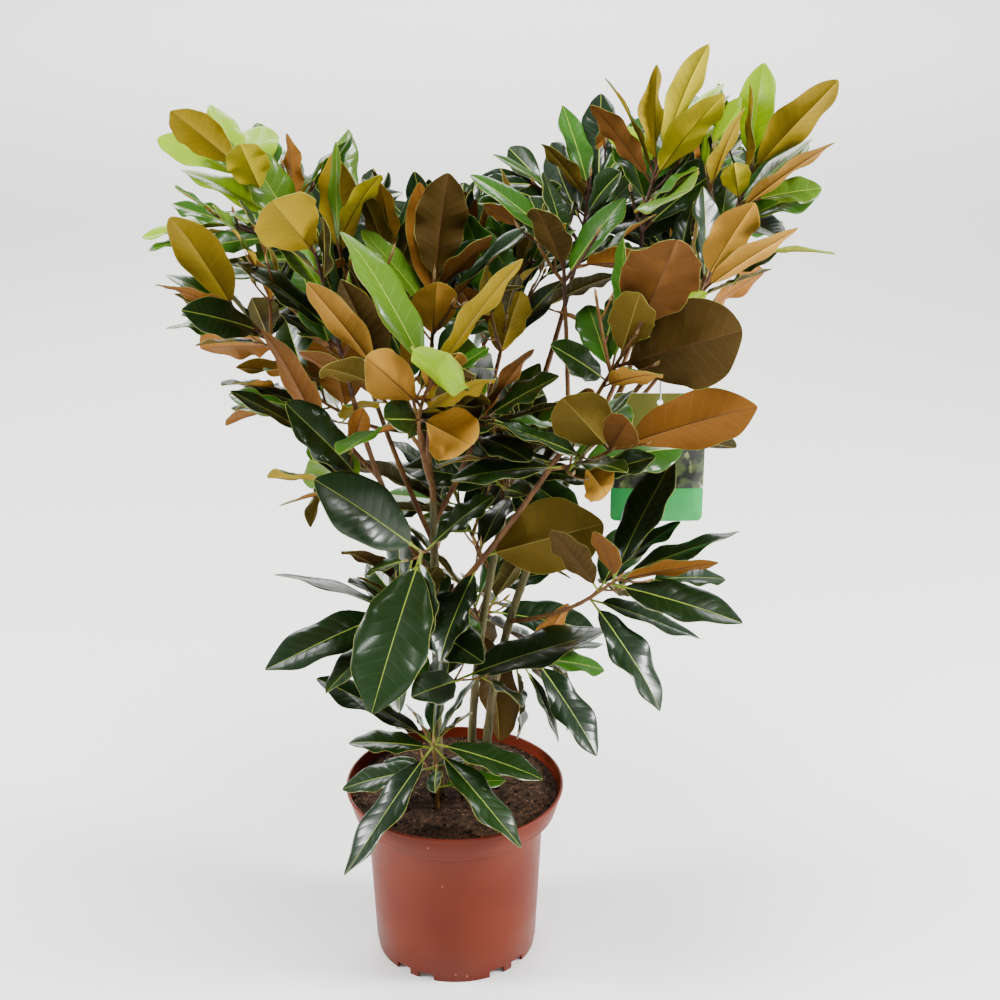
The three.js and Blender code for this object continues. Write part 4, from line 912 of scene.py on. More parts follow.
# How often a leaf that the rule sets has each tone: low in the crown, high in it, at its tips.
TONE_SHARES = {
    "low": dict(dark=0.5, deep=0.38, mid=0.12),
    "high": dict(dark=0.14, deep=0.1, mid=0.16, fresh=0.06, gold=0.08, tan=0.08, orange=0.09,
                 bronze=0.07, rust=0.07, brown=0.09, olive=0.06),
    "young": dict(lime=0.28, fresh=0.26, gold=0.26, orange=0.1, mid=0.1),
}
YOUNG_MASSES = ["left_top", "right_top", "right_far_top"]
LOW_CROWN = 575          # leaves that start under this height are old and dark
STALK_GREEN_UNDER = 620
DEEP_OVER = 0.55         # a dark leading leaf with a draw over this is deep

BLADE = dict(
    seed=11, small=85, veins=9, small_veins=5,  # a leaf under `small` has fewer veins
    stalk_rows=[0, 0.05, 0.1, 0.125, 0.15],
    first=0.19, last=0.92,                # places of the first vein and past the last one
    tip_rows=[(0.955, 0, 0.3), (0.98, 0, 0), (0.993, 0, 0)],
    across=[0.34, 0.64, 0.87],            # columns between the rib and the margin
    slant=0.13,                           # veins lean this far towards the tip
    stalk=1.15, rib=0.78, rib_tip=0.28, rib_part=[0.012, 0.5], vein=0.19,
    margin=0.27, margin_part=[0.01, 0.2],
    half=0.34, edge=0.2, thin_power=4,    # half thickness in the middle and at the edge
    rib_under=0.75, rib_over=0.12, rib_reach=1.05, rib_fade=0.6,
    point=0.14, point_spread=0.32, point_from=0.72, point_power=1.6, blunt=30,
    wave=2, wave_spread=3, wave_width=50, wave_power=2.2, waves=1.7, waves_spread=1.7,
    edge_wave=0.035, edge_waves=1.3,
    bulge=0.7, bulge_spread=0.8, bulge_width=45, middle_power=0.9,
    fold_foot=1.25, fold_loss=0.5, cup=0.8, roll_under=0.1, roll_power=7,
    droop=-0.16, droop_spread=0.34, droop_from=0.6, twist=34, twist_from=0.15,
)
BLADE_COLUMNS = 2 * (len(BLADE["across"]) + 3) + 1


def leaf_bands(veins):
    """Rows of a leaf from foot to tip: (place, side of a vein, bulge), and each band's kind."""
    rows = [(place, 0, 0) for place in BLADE["stalk_rows"]]
    bands = ["stalk", "stalk", "stalk", "blade"]
    step = (BLADE["last"] - BLADE["first"]) / veins
    for k in range(veins):
        place = BLADE["first"] + step * k
        rows += [(place, -1, 0), (place, 1, 0), (place + step / 2, 0, 1)]
        bands += ["blade", "vein", "blade"]
    rows += BLADE["tip_rows"]
    bands += ["blade"] * len(BLADE["tip_rows"])
    return np.array(rows, float), bands


def leaf_faces(veins):
    """Corner numbers and part names of a closed blade: its top, underside, tip and foot."""
    rows, bands = leaf_bands(veins)
    columns = BLADE_COLUMNS
    high = np.arange(len(rows) * columns).reshape(len(rows), columns)
    under = high.copy()
    under[:, 1:-1] = high.size + np.arange(len(rows) * (columns - 2)).reshape(len(rows), -1)
    tip = high.size + len(rows) * (columns - 2)
    middle = columns // 2
    faces, parts = [], []

    def part_of(band, j):
        if band == "stalk":
            return "stalk"
        if j in (0, columns - 2):
            return "margin"
        if j in (middle - 1, middle):
            return "rib"
        return band if 1 < j < columns - 3 else "blade"

    for i, band in enumerate(bands):
        for j in range(columns - 1):
            part = part_of(band, j)
            faces.append((high[i, j], high[i, j + 1], high[i + 1, j + 1], high[i + 1, j]))
            faces.append((under[i, j], under[i + 1, j], under[i + 1, j + 1], under[i, j + 1]))
            parts += [part + "_top", part + "_under"]
    for j in range(columns - 1):
        part = part_of("blade", j)
        faces.append((high[-1, j], high[-1, j + 1], tip, -1))
        faces.append((under[-1, j + 1], under[-1, j], tip, -1))
        parts += [part + "_top", part + "_under"]
        foot = (high[0, j + 1], high[0, j], under[0, j], under[0, j + 1])
        if j == 0:
            foot = (high[0, 1], high[0, 0], under[0, 1], -1)
        elif j == columns - 2:
            foot = (high[0, j + 1], high[0, j], under[0, j], -1)
        faces.append(foot)
        parts.append("stalk_under")
    return rows, np.array(faces), parts


def blade_columns(place, width):
    """Places across the blade at each row, from -1 to 1, and the rib's half width there."""
    half = np.maximum(width / 2 * outline(place), BLADE["stalk"])
    rib = BLADE["rib"] + (BLADE["rib_tip"] - BLADE["rib"]) * place
    edge = np.clip(rib / half, *BLADE["rib_part"])
    margin = np.clip(BLADE["margin"] / half, *BLADE["margin_part"])
    panels = edge[:, None] + (1 - margin - edge)[:, None] * np.array(BLADE["across"])
    right = np.column_stack([edge, panels, 1 - margin, np.ones_like(edge)])
    return np.column_stack([-right[:, ::-1], np.zeros_like(edge), right]), edge[:, None]


def blade_half_width(width, s, u, point):
    """Half width of the blade, drawn in towards a point."""
    start = BLADE["point_from"]
    sharp = np.clip((u - start) / (1 - start), 0, 1) ** BLADE["point_power"]
    half = width / 2 * outline(s)
    half = half * (1 - (BLADE["point"] + BLADE["point_spread"] * point) * sharp)
    return np.maximum(half, BLADE["stalk"] * np.clip((1 - u) * BLADE["blunt"], 0, 1))


def half_thickness(place, w, u, rib):
    """Half thickness above and below the middle of the leaf: round stalk, rib and thin blade."""
    far = np.abs(w)
    stalk = np.where(place < LEAF["petiole"], 1.0, 0.0)[:, None]
    around = BLADE["stalk"] * np.sqrt(np.clip(1 - w * w, 0, 1))
    outer = far ** BLADE["thin_power"]
    thin = (BLADE["half"] * (1 - outer) + BLADE["edge"] * outer) * (far < 1)
    near_rib = np.clip(1 - (far / (rib * BLADE["rib_reach"])) ** 2, 0, 1)
    near_rib = near_rib * (1 - BLADE["rib_fade"] * u)
    over = stalk * around + (1 - stalk) * (thin + BLADE["rib_over"] * near_rib)
    below = stalk * around + (1 - stalk) * (thin + BLADE["rib_under"] * near_rib)
    return over, below


def blade_points(leaf, rows, draws):
    """Places of a blade's top, underside and tip, with its waves, bulges, ribs and twist."""
    wave, count, phase, other_phase, twist, droop, bulge, point = draws
    length, width = leaf["length"], leaf["width"]
    place = rows[:, 0] + rows[:, 1] * BLADE["vein"] / length
    w, rib = blade_columns(place, width)
    far = np.abs(w)
    blade = blade_part(place)[:, None]
    s = place[:, None] + BLADE["slant"] * far * 4 * blade * (1 - blade)
    u = blade_part(s)
    half = blade_half_width(width, s, u, point)

    # The blade is folded along its rib and cupped, waves along its sides and rolls under.
    middle = np.sin(np.pi * u ** BLADE["middle_power"])
    turns = BLADE["waves"] + BLADE["waves_spread"] * count
    shift = np.where(w > 0, phase, other_phase) * 2 * np.pi
    amount = (BLADE["wave"] + BLADE["wave_spread"] * wave ** 2) * width / BLADE["wave_width"]
    ripple = amount * far ** BLADE["wave_power"] * middle * np.sin(2 * np.pi * turns * u + shift)
    fold = math.radians(leaf["fold"]) * (BLADE["fold_foot"] - BLADE["fold_loss"] * u)
    sway = np.sin(2 * np.pi * turns * BLADE["edge_waves"] * u + shift)
    across = w * half * np.cos(fold) * (1 + BLADE["edge_wave"] * sway)
    off = half * np.sin(fold) * far ** BLADE["cup"] + ripple
    off = off - BLADE["roll_under"] * half * far ** BLADE["roll_power"] * middle

    # Its tip droops or lifts, and the panels between its veins swell.
    bend = BLADE["droop"] + BLADE["droop_spread"] * droop
    off = off - bend * length * np.clip(u - BLADE["droop_from"], 0, 1) ** 2
    swell = (BLADE["bulge"] + BLADE["bulge_spread"] * bulge) * width / BLADE["bulge_width"]
    off = off + swell * rows[:, 2:3] * np.sin(np.pi * np.clip(far, 0, 1)) * middle
    angle = np.radians(BLADE["twist"] * (twist - 0.5)) * (u - BLADE["twist_from"]) * 2
    over, below = half_thickness(place, w, u, rib)

    def twisted(lifted):
        c, k = np.cos(angle), np.sin(angle)
        return on_arc(leaf, s, across * c - lifted * k, across * k + lifted * c)

    high = twisted(off + over).reshape(-1, 3)
    under = twisted(off - below)[:, 1:-1].reshape(-1, 3)
    tip_drop = bend * length * (1 - BLADE["droop_from"]) ** 2
    tip = on_arc(leaf, np.array([1.0]), np.zeros(1), np.array([-tip_drop]))
    return np.concatenate([high, under, tip])


def tone_of(leaf, mass, draw):
    """The tone of a leaf: its own where it leads, or dealt out by height and mass."""
    if leaf["tone"] == "dark" and draw > DEEP_OVER:
        return "deep"
    if leaf["tone"]:
        return leaf["tone"]
    part = "high"
    if leaf["base"][2] < LOW_CROWN:
        part = "low"
    elif mass in YOUNG_MASSES:
        part = "young"
    total = 0
    for tone, share in TONE_SHARES[part].items():
        total += share
        if draw < total:
            return tone
    return "mid"


LEAF_FACES = {count: leaf_faces(count) for count in (BLADE["veins"], BLADE["small_veins"])}

# A coarse net of each leaf, past its foot, tells where two leaves would cut each other. After
# `calm_after` tries the leaf's waves, twist, droop and bulge are drawn smaller by `calm`.
NET = dict(first=0.22, last=0.98, rows=9, tries=8, calm_after=4, calm=0.3)
NET_FACES = [
    (i * BLADE_COLUMNS + j, i * BLADE_COLUMNS + j + 1, (i + 1) * BLADE_COLUMNS + j + 1,
     (i + 1) * BLADE_COLUMNS + j)
    for i in range(NET["rows"] - 1) for j in range(BLADE_COLUMNS - 1)]


def leaf_net(leaf, draws):
    """The net of a leaf that has these draws, its middle and its reach."""
    rows = np.zeros((NET["rows"], 3))
    rows[:, 0] = np.linspace(NET["first"], NET["last"], NET["rows"])
    points = blade_points(leaf, rows, draws[:8])[:NET["rows"] * BLADE_COLUMNS]
    middle = points.mean(axis=0)
    reach = np.linalg.norm(points - middle, axis=1).max()
    return BVHTree.FromPolygons(points.tolist(), NET_FACES), middle, reach


def dress_leaves(placed, spur_leaves, rng):
    """Draws each leaf's waves and tone, again where it would cut an earlier leaf.

    Leaves of the rule that close a gap of the front view are left out, and so are those of
    the last `spur_leaves` that can't clear the others.
    """
    kept, nets, middles, reaches = [], [], [], []
    for number, item in enumerate(placed):
        if not item["leaf"]["leading"] and fills_opening(item["points"]):
            continue
        best = None
        for attempt in range(NET["tries"]):
            draws = rng.random(9)
            if attempt >= NET["calm_after"]:
                draws[[0, 6]] *= NET["calm"]
                draws[4:6] = 0.5 + (draws[4:6] - 0.5) * NET["calm"]
            net, middle, reach = leaf_net(item["leaf"], draws)
            cuts = 0
            if kept:
                apart = np.linalg.norm(np.array(middles) - middle, axis=1)
                near = np.nonzero(apart < np.array(reaches) + reach)[0]
                cuts = sum(bool(net.overlap(nets[other])) for other in near)
            if best is None or cuts < best[0]:
                best = (cuts, draws, net, middle, reach)
            if not cuts:
                break
        if best[0] and number >= len(placed) - spur_leaves:
            continue
        item["draws"] = best[1]
        kept.append(item)
        nets.append(best[2])
        middles.append(best[3])
        reaches.append(best[4])
    return kept


def add_leaf(rows, leaf, mass, draws):
    """Adds one leaf with its own waves, twist and tone to the gathered rows."""
    count = BLADE["small_veins"] if leaf["length"] < BLADE["small"] else BLADE["veins"]
    places, faces, parts = LEAF_FACES[count]
    top, under, rib, vein = TONES[tone_of(leaf, mass, draws[8])]
    stalk = "stalk_green" if leaf["base"][2] < STALK_GREEN_UNDER else "stalk_brown"
    finish = dict(
        blade_top="top_" + top, rib_top="rib_lime" if top == "lime" else "rib_light",
        vein_top="vein_" + TOP_VEINS[top], margin_top="margin", stalk_top=stalk,
        blade_under="under_" + under, rib_under="rib_" + rib, vein_under="vein_" + vein,
        margin_under="margin", stalk_under=stalk)
    points = blade_points(leaf, places, draws[:8])
    rows.add(points, faces, np.array([KIND[finish[part]] for part in parts]))


# -------------------- twigs and buds


def sweep(curve, steps, sides, radius_at, stop=1.0):
    """A closed round bar along a curve: its points and faces. `radius_at` takes t and angle."""
    angles = 2 * np.pi * np.arange(sides) / sides
    points = []
    for i in range(steps + 1):
        t = stop * i / steps
        axis = curve.heading(t)
        side = side_of(axis)
        up = np.cross(axis, side)
        for angle in angles:
            r = radius_at(t, angle)
            points.append(curve.point(t) + (side * math.cos(angle) + up * math.sin(angle)) * r)
    last = (steps + 1) * sides
    points += [curve.point(0), curve.point(stop)]
    faces = []
    for i in range(steps):
        for j in range(sides):
            k = (j + 1) % sides
            a, b = i * sides, (i + 1) * sides
            faces.append((a + j, a + k, b + k, b + j))
    for j in range(sides):
        k = (j + 1) % sides
        faces.append((last, k, j, -1))
        faces.append((last + 1, steps * sides + j, steps * sides + k, -1))
    return np.array(points), np.array(faces)


TWIG_FINE = dict(
    step=3.5, sides=7, dark_over=830,
    ring_every=13, ring_shift=5, ring=0.16, ring_width=1.1,  # scars round the twig
    lump=0.07, lumps_round=3, lump_turn=0.31,
)
BUD = dict(
    length=8, spread=7, radius=1.8, thin=0.8, thin_spread=0.4, lean=0.3, steps=8, sides=7,
    start=0.16, end=0.9, fullness=0.8, point=0.35, foot=0.2, thinnest=0.12, stop=0.99,
)


def twig_radius(radius, length, seed):
    """Radius of a twig with ring scars and small lumps along it."""
    plain = taper(radius)
    every = TWIG_FINE["ring_every"]
    shift = TWIG_FINE["ring_shift"] * math.sin(seed * 12.9)  # differs from seed to seed

    def at(t, angle):
        place = t * length + shift
        ring = abs(place % every - every / 2)
        swell = TWIG_FINE["ring"] * math.exp(-((ring / TWIG_FINE["ring_width"]) ** 2))
        turn = TWIG_FINE["lumps_round"] * angle + place * TWIG_FINE["lump_turn"] + seed
        return plain(t) * (1 + swell + TWIG_FINE["lump"] * math.sin(turn))

    return at


def add_twig(rows, shoot, seed):
    """Adds the stem of a shoot as a closed bar with scars and lumps."""
    curve = shoot["curve"]
    length = curve.span()
    steps = max(4, round(length / TWIG_FINE["step"]))
    points, faces = sweep(curve, steps, TWIG_FINE["sides"],
                          twig_radius(shoot["radius"], length, seed))
    kind = "twig_dark" if curve.end[2] > TWIG_FINE["dark_over"] else "twig_red"
    rows.add(points, faces, np.full(len(faces), KIND[kind]))


def add_bud(rows, shoot, rng):
    """A slim pointed bud that closes the tip of a shoot."""
    curve = shoot["curve"]
    along = curve.heading(1)
    length = BUD["length"] + BUD["spread"] * rng.random()
    wide = BUD["radius"] * (BUD["thin"] + BUD["thin_spread"] * rng.random())
    lean = unit(along + UP * BUD["lean"])
    start = curve.point(1) - along
    axis = Curve(start, start + along * length / 2, start + lean * length)
    foot = shoot["radius"][1]

    def radius(t, _):
        belly = math.sin(math.pi * min(1, t * BUD["end"] + BUD["start"])) ** BUD["fullness"]
        body = belly * wide * (1 - t) ** BUD["point"]
        return max(BUD["thinnest"], body + foot * max(0, BUD["foot"] - t))

    points, faces = sweep(axis, BUD["steps"], BUD["sides"], radius, BUD["stop"])
    rows.add(points, faces, np.full(len(faces), KIND["bud"]))


# -------------------- finishes


def colour(code):
    """Linear colour of a six digit hex code."""
    parts = [int(code[i:i + 2], 16) / 255 for i in (0, 2, 4)]
    return [p / 12.92 if p <= 0.04045 else ((p + 0.055) / 1.055) ** 2.4 for p in parts] + [1]


def node_group(name, inputs, outputs):
    """An empty shader node group with named value, colour or vector sockets."""
    group = bpy.data.node_groups.new(name, "ShaderNodeTree")
    kinds = dict(value="NodeSocketFloat", colour="NodeSocketColor", vector="NodeSocketVector")
    for label, kind in inputs:
        group.interface.new_socket(label, in_out="INPUT", socket_type=kinds[kind])
    for label, kind in outputs:
        group.interface.new_socket(label, in_out="OUTPUT", socket_type=kinds[kind])
    return group, group.nodes.new("NodeGroupInput"), group.nodes.new("NodeGroupOutput")


def grain_group():
    """Fine unevenness: a height for bump, and a roughness between two values."""
    group, given, result = node_group(
        "surface_grain",
        [("Vector", "vector"), ("Scale", "value"), ("Detail", "value"), ("Smoothest", "value"),
         ("Roughest", "value")],
        [("Height", "value"), ("Roughness", "value")])
    link = group.links.new
    grain = group.nodes.new("ShaderNodeTexNoise")
    grain.inputs["Roughness"].default_value = 0.6
    span = group.nodes.new("ShaderNodeMapRange")
    span.inputs["From Min"].default_value = 0.3
    span.inputs["From Max"].default_value = 0.7
    link(given.outputs["Vector"], grain.inputs["Vector"])
    link(given.outputs["Scale"], grain.inputs["Scale"])
    link(given.outputs["Detail"], grain.inputs["Detail"])
    link(grain.outputs["Fac"], span.inputs["Value"])
    link(given.outputs["Smoothest"], span.inputs["To Min"])
    link(given.outputs["Roughest"], span.inputs["To Max"])
    link(grain.outputs["Fac"], result.inputs["Height"])
    link(span.outputs["Result"], result.inputs["Roughness"])
    return group


def speck_group():
    """Small scattered specks: 1 on a speck, 0 elsewhere."""
    group, given, result = node_group(
        "scattered_specks",
        [("Vector", "vector"), ("Scale", "value"), ("Size", "value"), ("Share", "value")],
        [("Mask", "value")])
    link = group.links.new
    cells = group.nodes.new("ShaderNodeTexVoronoi")
    split = group.nodes.new("ShaderNodeSeparateColor")
    near, chosen, both = (group.nodes.new("ShaderNodeMath") for _ in range(3))
    near.operation = "LESS_THAN"
    chosen.operation = "LESS_THAN"
    both.operation = "MULTIPLY"
    link(given.outputs["Vector"], cells.inputs["Vector"])
    link(given.outputs["Scale"], cells.inputs["Scale"])
    link(cells.outputs["Distance"], near.inputs[0])
    link(given.outputs["Size"], near.inputs[1])
    link(cells.outputs["Color"], split.inputs["Color"])
    link(split.outputs["Red"], chosen.inputs[0])
    link(given.outputs["Share"], chosen.inputs[1])
    link(near.outputs[0], both.inputs[0])
    link(chosen.outputs[0], both.inputs[1])
    link(both.outputs[0], result.inputs["Mask"])
    return group


class Finish:
    """A material with its Principled shader, and the small steps that dress it."""

    def __init__(self, name, base, roughness, specular):
        self.made = bpy.data.materials.new(name)
        self.made.use_nodes = True
        self.nodes = self.made.node_tree.nodes
        self.link = self.made.node_tree.links.new
        self.shader = self.nodes["Principled BSDF"]
        self.shader.inputs["Base Color"].default_value = colour(base)
        self.shader.inputs["Roughness"].default_value = roughness
        self.shader.inputs["Specular IOR Level"].default_value = specular
        self.place = self.nodes.new("ShaderNodeTexCoord").outputs["Object"]

    def stretched(self, *scale):
        """Object coordinates, scaled along each axis."""
        mapping = self.nodes.new("ShaderNodeMapping")
        mapping.inputs["Scale"].default_value = scale
        self.link(self.place, mapping.inputs["Vector"])
        return mapping.outputs["Vector"]

    def group(self, tree, place=None, **values):
        """Places a node group, with values for its inputs."""
        node = self.nodes.new("ShaderNodeGroup")
        node.node_tree = tree
        self.link(place or self.place, node.inputs["Vector"])
        for label, value in values.items():
            node.inputs[label].default_value = value
        return node

    def mixed(self, below, above, mask):
        """A colour between two others (socket or hex code) by a mask socket."""
        mix = self.nodes.new("ShaderNodeMix")
        mix.data_type = "RGBA"
        self.link(mask, mix.inputs["Factor"])
        for socket, value in ((mix.inputs[6], below), (mix.inputs[7], above)):
            if isinstance(value, str):
                socket.default_value = colour(value)
            else:
                self.link(value, socket)
        return mix.outputs[2]

    def cloud(self, scale, low, high, place=None, detail=3):
        """A noise mask that rises from 0 to 1 between two levels."""
        cloud = self.nodes.new("ShaderNodeTexNoise")
        cloud.inputs["Scale"].default_value = scale
        cloud.inputs["Detail"].default_value = detail
        span = self.nodes.new("ShaderNodeMapRange")
        span.inputs["From Min"].default_value = low
        span.inputs["From Max"].default_value = high
        self.link(place or self.place, cloud.inputs["Vector"])
        self.link(cloud.outputs["Fac"], span.inputs["Value"])
        return span.outputs["Result"]

    def paint(self, socket):
        self.link(socket, self.shader.inputs["Base Color"])

    def coat(self, weight):
        self.shader.inputs["Coat Weight"].default_value = weight

    def grained(self, grain, scale, detail, roughness, bump=None, place=None):
        """Roughness that varies between two values, and bumps of a strength and a depth."""
        fine = self.group(grain, place, Scale=scale, Detail=detail, Smoothest=roughness[0],
                          Roughest=roughness[1])
        self.link(fine.outputs["Roughness"], self.shader.inputs["Roughness"])
        return self.bump(fine.outputs["Height"], *bump) if bump else None

    def bump(self, height, strength, distance, onto=None):
        """Bumps from a height, over an earlier normal if there is one."""
        bump = self.nodes.new("ShaderNodeBump")
        bump.inputs["Strength"].default_value = strength
        bump.inputs["Distance"].default_value = distance * MM
        self.link(height, bump.inputs["Height"])
        if onto:
            self.link(onto, bump.inputs["Normal"])
        self.link(bump.outputs["Normal"], self.shader.inputs["Normal"])
        return bump.outputs["Normal"]


LEAF_COAT = dict(weight=0.36, roughness=0.18)
LESS_GLOSS = dict(top_lime=0.1)  # coat of the youngest tops


def leaf_finishes(grain):
    """Glossy tops, felted undersides, and the plain lines of ribs, veins and margins."""
    made = {}
    for name, base in LEAF_TOPS.items():
        top = Finish(name, base, roughness=0.3, specular=0.1 if name in LESS_GLOSS else 0.2)
        top.grained(grain, scale=240, detail=2, roughness=(0.3, 0.42), bump=(0.12, 0.4))
        top.coat(LESS_GLOSS.get(name, LEAF_COAT["weight"]))
        top.shader.inputs["Coat Roughness"].default_value = LEAF_COAT["roughness"]
        made[name] = top.made
    for name, base in LEAF_UNDERS.items():
        felt = Finish(name, base, roughness=0.75, specular=0.12)
        felt.grained(grain, scale=900, detail=4, roughness=(0.6, 0.9), bump=(0.3, 0.4))
        made[name] = felt.made
    for name, base in LEAF_LINES.items():
        line = Finish(name, base, roughness=0.5, specular=0.25)
        line.grained(grain, scale=600, detail=3, roughness=(0.38, 0.62), bump=(0.2, 0.3))
        made[name] = line.made
    return made


def bark_finish(grain, name, base, patch, streak):
    """Smooth young bark with long streaks, paler patches and small pores."""
    bark = Finish(name, base, roughness=0.6, specular=0.35)
    long_way = bark.stretched(1, 1, 0.18)
    tint = bark.mixed(base, patch, bark.cloud(90, 0.4, 0.62, long_way))
    tint = bark.mixed(tint, streak, bark.cloud(420, 0.56, 0.7, long_way, 5))
    bark.paint(tint)
    bark.grained(grain, scale=700, detail=5, roughness=(0.45, 0.8), bump=(0.6, 0.5),
                 place=long_way)
    return bark.made


def bud_finish(grain):
    """Furry bud scales."""
    bud = Finish("bud", "8a6a30", roughness=0.8, specular=0.2)
    bud.grained(grain, scale=1400, detail=4, roughness=(0.6, 0.95), bump=(0.6, 0.4))
    bud.shader.inputs["Sheen Weight"].default_value = 0.4
    return bud.made


def pot_finish(grain, specks):
    """Terracotta coloured plastic: faint moulding haze, pale scuffs and dark grit."""
    pot = Finish("pot_plastic", "5e1e08", roughness=0.5, specular=0.14)
    tint = pot.mixed("5b1c08", "62220b", pot.cloud(14, 0.35, 0.65))
    pale = pot.group(specks, pot.stretched(1, 1, 0.55), Scale=75, Size=0.07, Share=0.14)
    tint = pot.mixed(tint, "a8604a", pale.outputs["Mask"])
    grit = pot.group(specks, Scale=110, Size=0.055, Share=0.12)
    tint = pot.mixed(tint, "3a1c14", grit.outputs["Mask"])
    pot.paint(tint)
    moulded = pot.grained(grain, scale=520, detail=4, roughness=(0.34, 0.5), bump=(0.12, 0.25))
    pot.bump(pot.cloud(26, 0.2, 0.8), 0.15, 0.8, moulded)
    return pot.made


def peat_finish(grain, specks):
    """Dark crumbly peat with brown and straw coloured bits."""
    peat = Finish("peat", "2a1d15", roughness=0.95, specular=0.15)
    tint = peat.mixed("1d130d", "4a3424", peat.cloud(160, 0.35, 0.68, detail=6))
    fibres = peat.group(specks, peat.stretched(1, 0.5, 1), Scale=330, Size=0.3, Share=0.25)
    tint = peat.mixed(tint, "6b4d34", fibres.outputs["Mask"])
    bits = peat.group(specks, Scale=210, Size=0.22, Share=0.1)
    tint = peat.mixed(tint, "8a6c4a", bits.outputs["Mask"])
    peat.paint(tint)
    peat.grained(grain, scale=420, detail=8, roughness=(0.85, 1), bump=(1, 1.6))
    return peat.made


def crumb_finishes(grain):
    """Loose bits of peat: dark and brown lumps, straw coloured fibres."""
    made = {}
    for name, base in CRUMB_COLOURS.items():
        crumb = Finish(name, base, roughness=0.95, specular=0.15)
        crumb.grained(grain, scale=900, detail=5, roughness=(0.85, 1), bump=(0.8, 0.6))
        made[name] = crumb.made
    return made


# Printed fields of the card: two near colours, and how fine the print is uneven.
CARD_PRINTS = dict(
    card_back=("e9ece6", "f1f3ee", 60), card_green=("2cae52", "34b65a", 60),
    card_strip=("148a48", "1c9450", 60), card_olive=("6a6c28", "787834", 25),
)


def printed_finish(grain, name, base, second, scale):
    """Coated card with an even print, a little uneven under the gloss."""
    card = Finish(name, base, roughness=0.4, specular=0.3)
    card.paint(card.mixed(base, second, card.cloud(scale, 0.35, 0.65, detail=2)))
    card.grained(grain, scale=300, detail=2, roughness=(0.36, 0.46))
    return card.made


def picture_finish(grain):
    """A blurred dark field of green, black and cream blotches with no motif."""
    card = Finish("card_blurred_field", "1c2016", roughness=0.35, specular=0.5)
    tint = card.mixed("14170f", "4b5a2c", card.cloud(75, 0.46, 0.6))
    tint = card.mixed(tint, "8b9a5a", card.cloud(120, 0.6, 0.68, card.stretched(1, 1, 0.5)))
    tint = card.mixed(tint, "e4e2d6", card.cloud(48, 0.63, 0.68))
    card.paint(tint)
    card.grained(grain, scale=300, detail=2, roughness=(0.3, 0.4))
    card.coat(0.3)
    return card.made


def cord_finish(grain):
    """White twisted thread."""
    cord = Finish("white_cord", "efeee8", roughness=0.4, specular=0.5)
    cord.paint(cord.mixed("e4e2da", "f6f5f0", cord.cloud(300, 0.35, 0.65)))
    cord.grained(grain, scale=1500, detail=2, roughness=(0.3, 0.5), bump=(0.3, 0.2))
    return cord.made


def floor_finish(grain):
    """The pale, matt studio floor."""
    floor = Finish("studio_floor", "f4f4f2", roughness=0.9, specular=0.1)
    floor.grained(grain, scale=4, detail=2, roughness=(0.86, 0.94))
    return floor.made


def all_finishes():
    """Every finish by name, each made once."""
    grain, specks = grain_group(), speck_group()
    made = leaf_finishes(grain)
    made.update(crumb_finishes(grain))
    for name, colours in BARK_COLOURS.items():
        made[name] = bark_finish(grain, name, *colours)
    for name, field in CARD_PRINTS.items():
        made[name] = printed_finish(grain, name, *field)
    made["card_blurred_field"] = picture_finish(grain)
    made["bud"] = bud_finish(grain)
    made["pot"] = pot_finish(grain, specks)
    made["peat"] = peat_finish(grain, specks)
    made["cord"] = cord_finish(grain)
    made["floor"] = floor_finish(grain)
    return made


# -------------------- pieces modelled one by one


def deselect():
    """Leaves edit mode and selects nothing."""
    if bpy.context.object and bpy.context.object.mode != "OBJECT":
        bpy.ops.object.mode_set(mode="OBJECT")
    bpy.ops.object.select_all(action="DESELECT")


def activate(piece):
    """Makes a piece the active one, and the only one that is selected."""
    deselect()
    bpy.context.view_layer.objects.active = piece
    piece.select_set(True)


def start_edit(name):
    """Names the new piece and opens it in edit mode."""
    piece = bpy.context.object
    piece.name = name
    piece.data.name = name
    bpy.ops.object.mode_set(mode="EDIT")
    bpy.ops.mesh.select_mode(type="VERT")
    return piece


def choose(piece, chosen, parts="faces"):
    """Selects, in edit mode, the faces or edges for which `chosen` is true."""
    bpy.ops.mesh.select_mode(type="FACE" if parts == "faces" else "EDGE")
    bpy.ops.mesh.select_all(action="DESELECT")
    bpy.ops.object.mode_set(mode="OBJECT")
    mesh = piece.data
    if parts == "faces":
        for face in mesh.polygons:
            face.select = chosen(face.center / MM, face.normal)
    else:
        for edge in mesh.edges:
            a, b = (mesh.vertices[i].co / MM for i in edge.vertices)
            edge.select = chosen(a, b)
    bpy.ops.object.mode_set(mode="EDIT")


def apply_modifier(piece, name, kind, **values):
    activate(piece)
    modifier = piece.modifiers.new(name, kind)
    for key, value in values.items():
        setattr(modifier, key, value)
    bpy.ops.object.modifier_apply(modifier=name)


def outward():
    """Merges the active piece's doubles and turns its faces outwards."""
    bpy.ops.object.mode_set(mode="EDIT")
    bpy.ops.mesh.select_all(action="SELECT")
    bpy.ops.mesh.remove_doubles(threshold=0.00001)
    bpy.ops.mesh.normals_make_consistent(inside=False)
    bpy.ops.object.mode_set(mode="OBJECT")


def smooth_by_angle(piece, degrees):
    activate(piece)
    bpy.ops.object.shade_smooth_by_angle(angle=math.radians(degrees))


def move_and_scale(rise, ratio):
    """Draws the selected ring up and widens it, as one extrusion."""
    bpy.ops.mesh.extrude_region_move(
        TRANSFORM_OT_translate={"value": (0, 0, rise * MM), "orient_type": "GLOBAL"})
    if abs(ratio - 1) > 1e-6:
        bpy.ops.transform.resize(value=(ratio, ratio, 1), center_override=(0, 0, 0))


